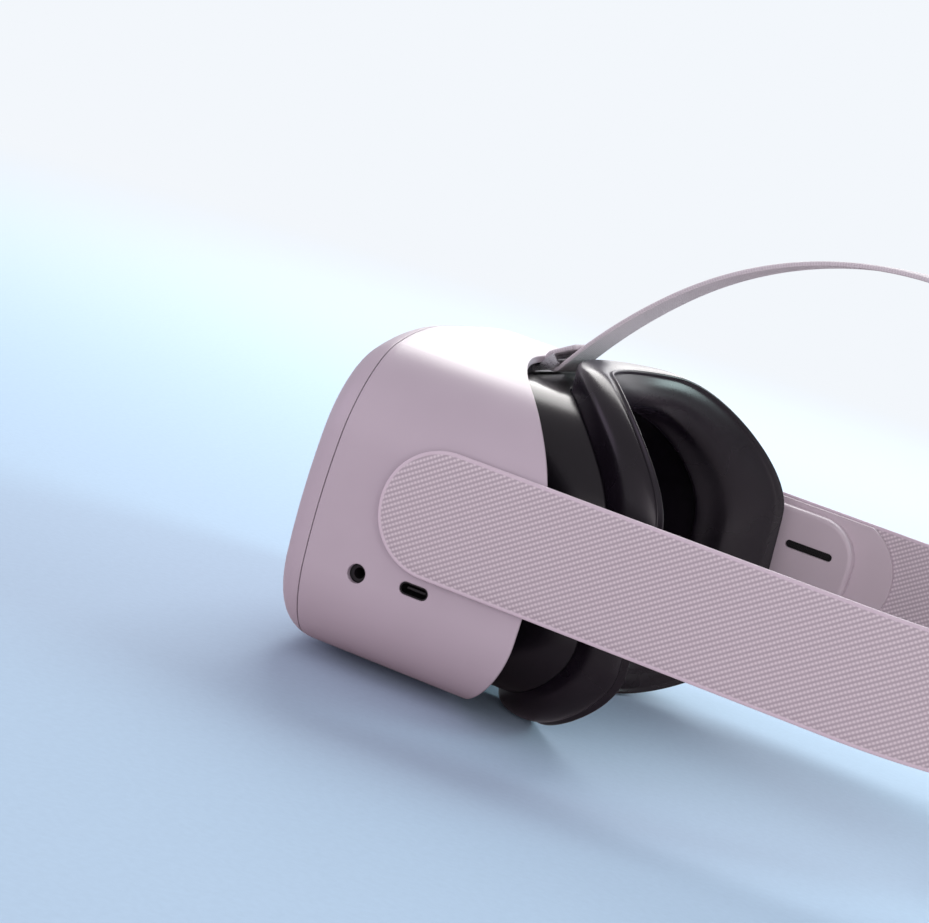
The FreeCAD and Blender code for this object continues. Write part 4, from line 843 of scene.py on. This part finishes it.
floor_bm = bmesh.new()
bmesh.ops.create_circle(floor_bm, cap_ends=True, segments=96, radius=FLOOR_R)
bmesh.ops.translate(floor_bm, verts=floor_bm.verts, vec=(0, 0, -FLOOR_DROP))
bmesh.ops.scale(floor_bm, vec=(MM, MM, MM), verts=floor_bm.verts)
floor_mesh = bpy.data.meshes.new("floor")
floor_bm.to_mesh(floor_mesh)
floor_bm.free()
floor = bpy.data.objects.new("floor", floor_mesh)
floor_mesh.materials.append(floor_finish())
bpy.context.scene.collection.objects.link(floor)
floor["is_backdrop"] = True

world = bpy.data.worlds.new("surround")
bpy.context.scene.world = world
world.use_nodes = True
air = world.node_tree
air.nodes.clear()
seen = add(air, "ShaderNodeBackground", {"Color": linear(SURROUND), "Strength": 1.0})
shed = add(air, "ShaderNodeBackground", {"Color": linear("#F0E8F0"), "Strength": 0.5})
ray = add(air, "ShaderNodeLightPath")
both = add(air, "ShaderNodeMixShader", {0: ray.outputs["Is Camera Ray"], 1: shed.outputs[0],
                                        2: seen.outputs[0]})
add(air, "ShaderNodeOutputWorld", {"Surface": both.outputs[0]})


def softbox(name, place, target, wide, tall, power, code):
    """An area light at place, aimed at target."""
    light = bpy.data.lights.new(name, "AREA")
    light.shape, light.size, light.size_y = "RECTANGLE", wide, tall
    light.energy, light.color = power, linear(code)[:3]
    lamp = bpy.data.objects.new(name, light)
    lamp.location = place
    lamp.rotation_mode = "QUATERNION"
    lamp.rotation_quaternion = (Vector(target) - Vector(place)).to_track_quat("-Z", "Y")
    bpy.context.scene.collection.objects.link(lamp)


softbox("key", (-1.15, -0.3, 1.0), (0, 0, 0.06), 1.1, 1.1, 17.0, "#FFFDFB")
softbox("far_side", (-1.6, 0.15, 0.42), (0, 0, 0.08), 2.7, 0.9, 9.0, "#FAFCFF")
softbox("behind", (-0.72, 1.2, 0.75), (0, 0, 0.08), 0.6, 0.6, 11.0, "#D6F0F0")
softbox("near_side", (1.7, 0.45, 0.22), (0, 0, 0.05), 1.9, 1.3, 16.0, "#F8EEF4")
softbox("front_fill", (0.5, -1.7, 0.5), (0, 0, 0.06), 1.0, 1.0, 3.0, "#E2CBF2")

# The camera's direction round from the front, its height and its roll in degrees, and where it stands.
AZIMUTH, ELEVATION, ROLL = 109.3513, 8.2269, 17.5684
CAMERA_PLACE = (0.95364, 0.21459, 0.21167)
camera = bpy.data.cameras.new("view")
camera.lens, camera.sensor_width = 115.486, 36.0
camera.clip_start, camera.clip_end = 0.05, 200.0
azimuth, elevation, roll = (math.radians(angle) for angle in (AZIMUTH, ELEVATION, ROLL))
back = Vector((math.sin(azimuth) * math.cos(elevation), -math.cos(azimuth) * math.cos(elevation),
               math.sin(elevation)))
level = Vector((0, 0, 1)).cross(back).normalized()
upward = back.cross(level)
right = math.cos(roll) * level + math.sin(roll) * upward
top = -math.sin(roll) * level + math.cos(roll) * upward
eye = bpy.data.objects.new("view", camera)
eye.matrix_world = Matrix.Translation(CAMERA_PLACE) @ Matrix((right, top, back)).transposed().to_4x4()
bpy.context.scene.collection.objects.link(eye)
bpy.context.scene.camera = eye
bpy.context.scene.view_settings.view_transform = "Standard"

low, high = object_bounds()
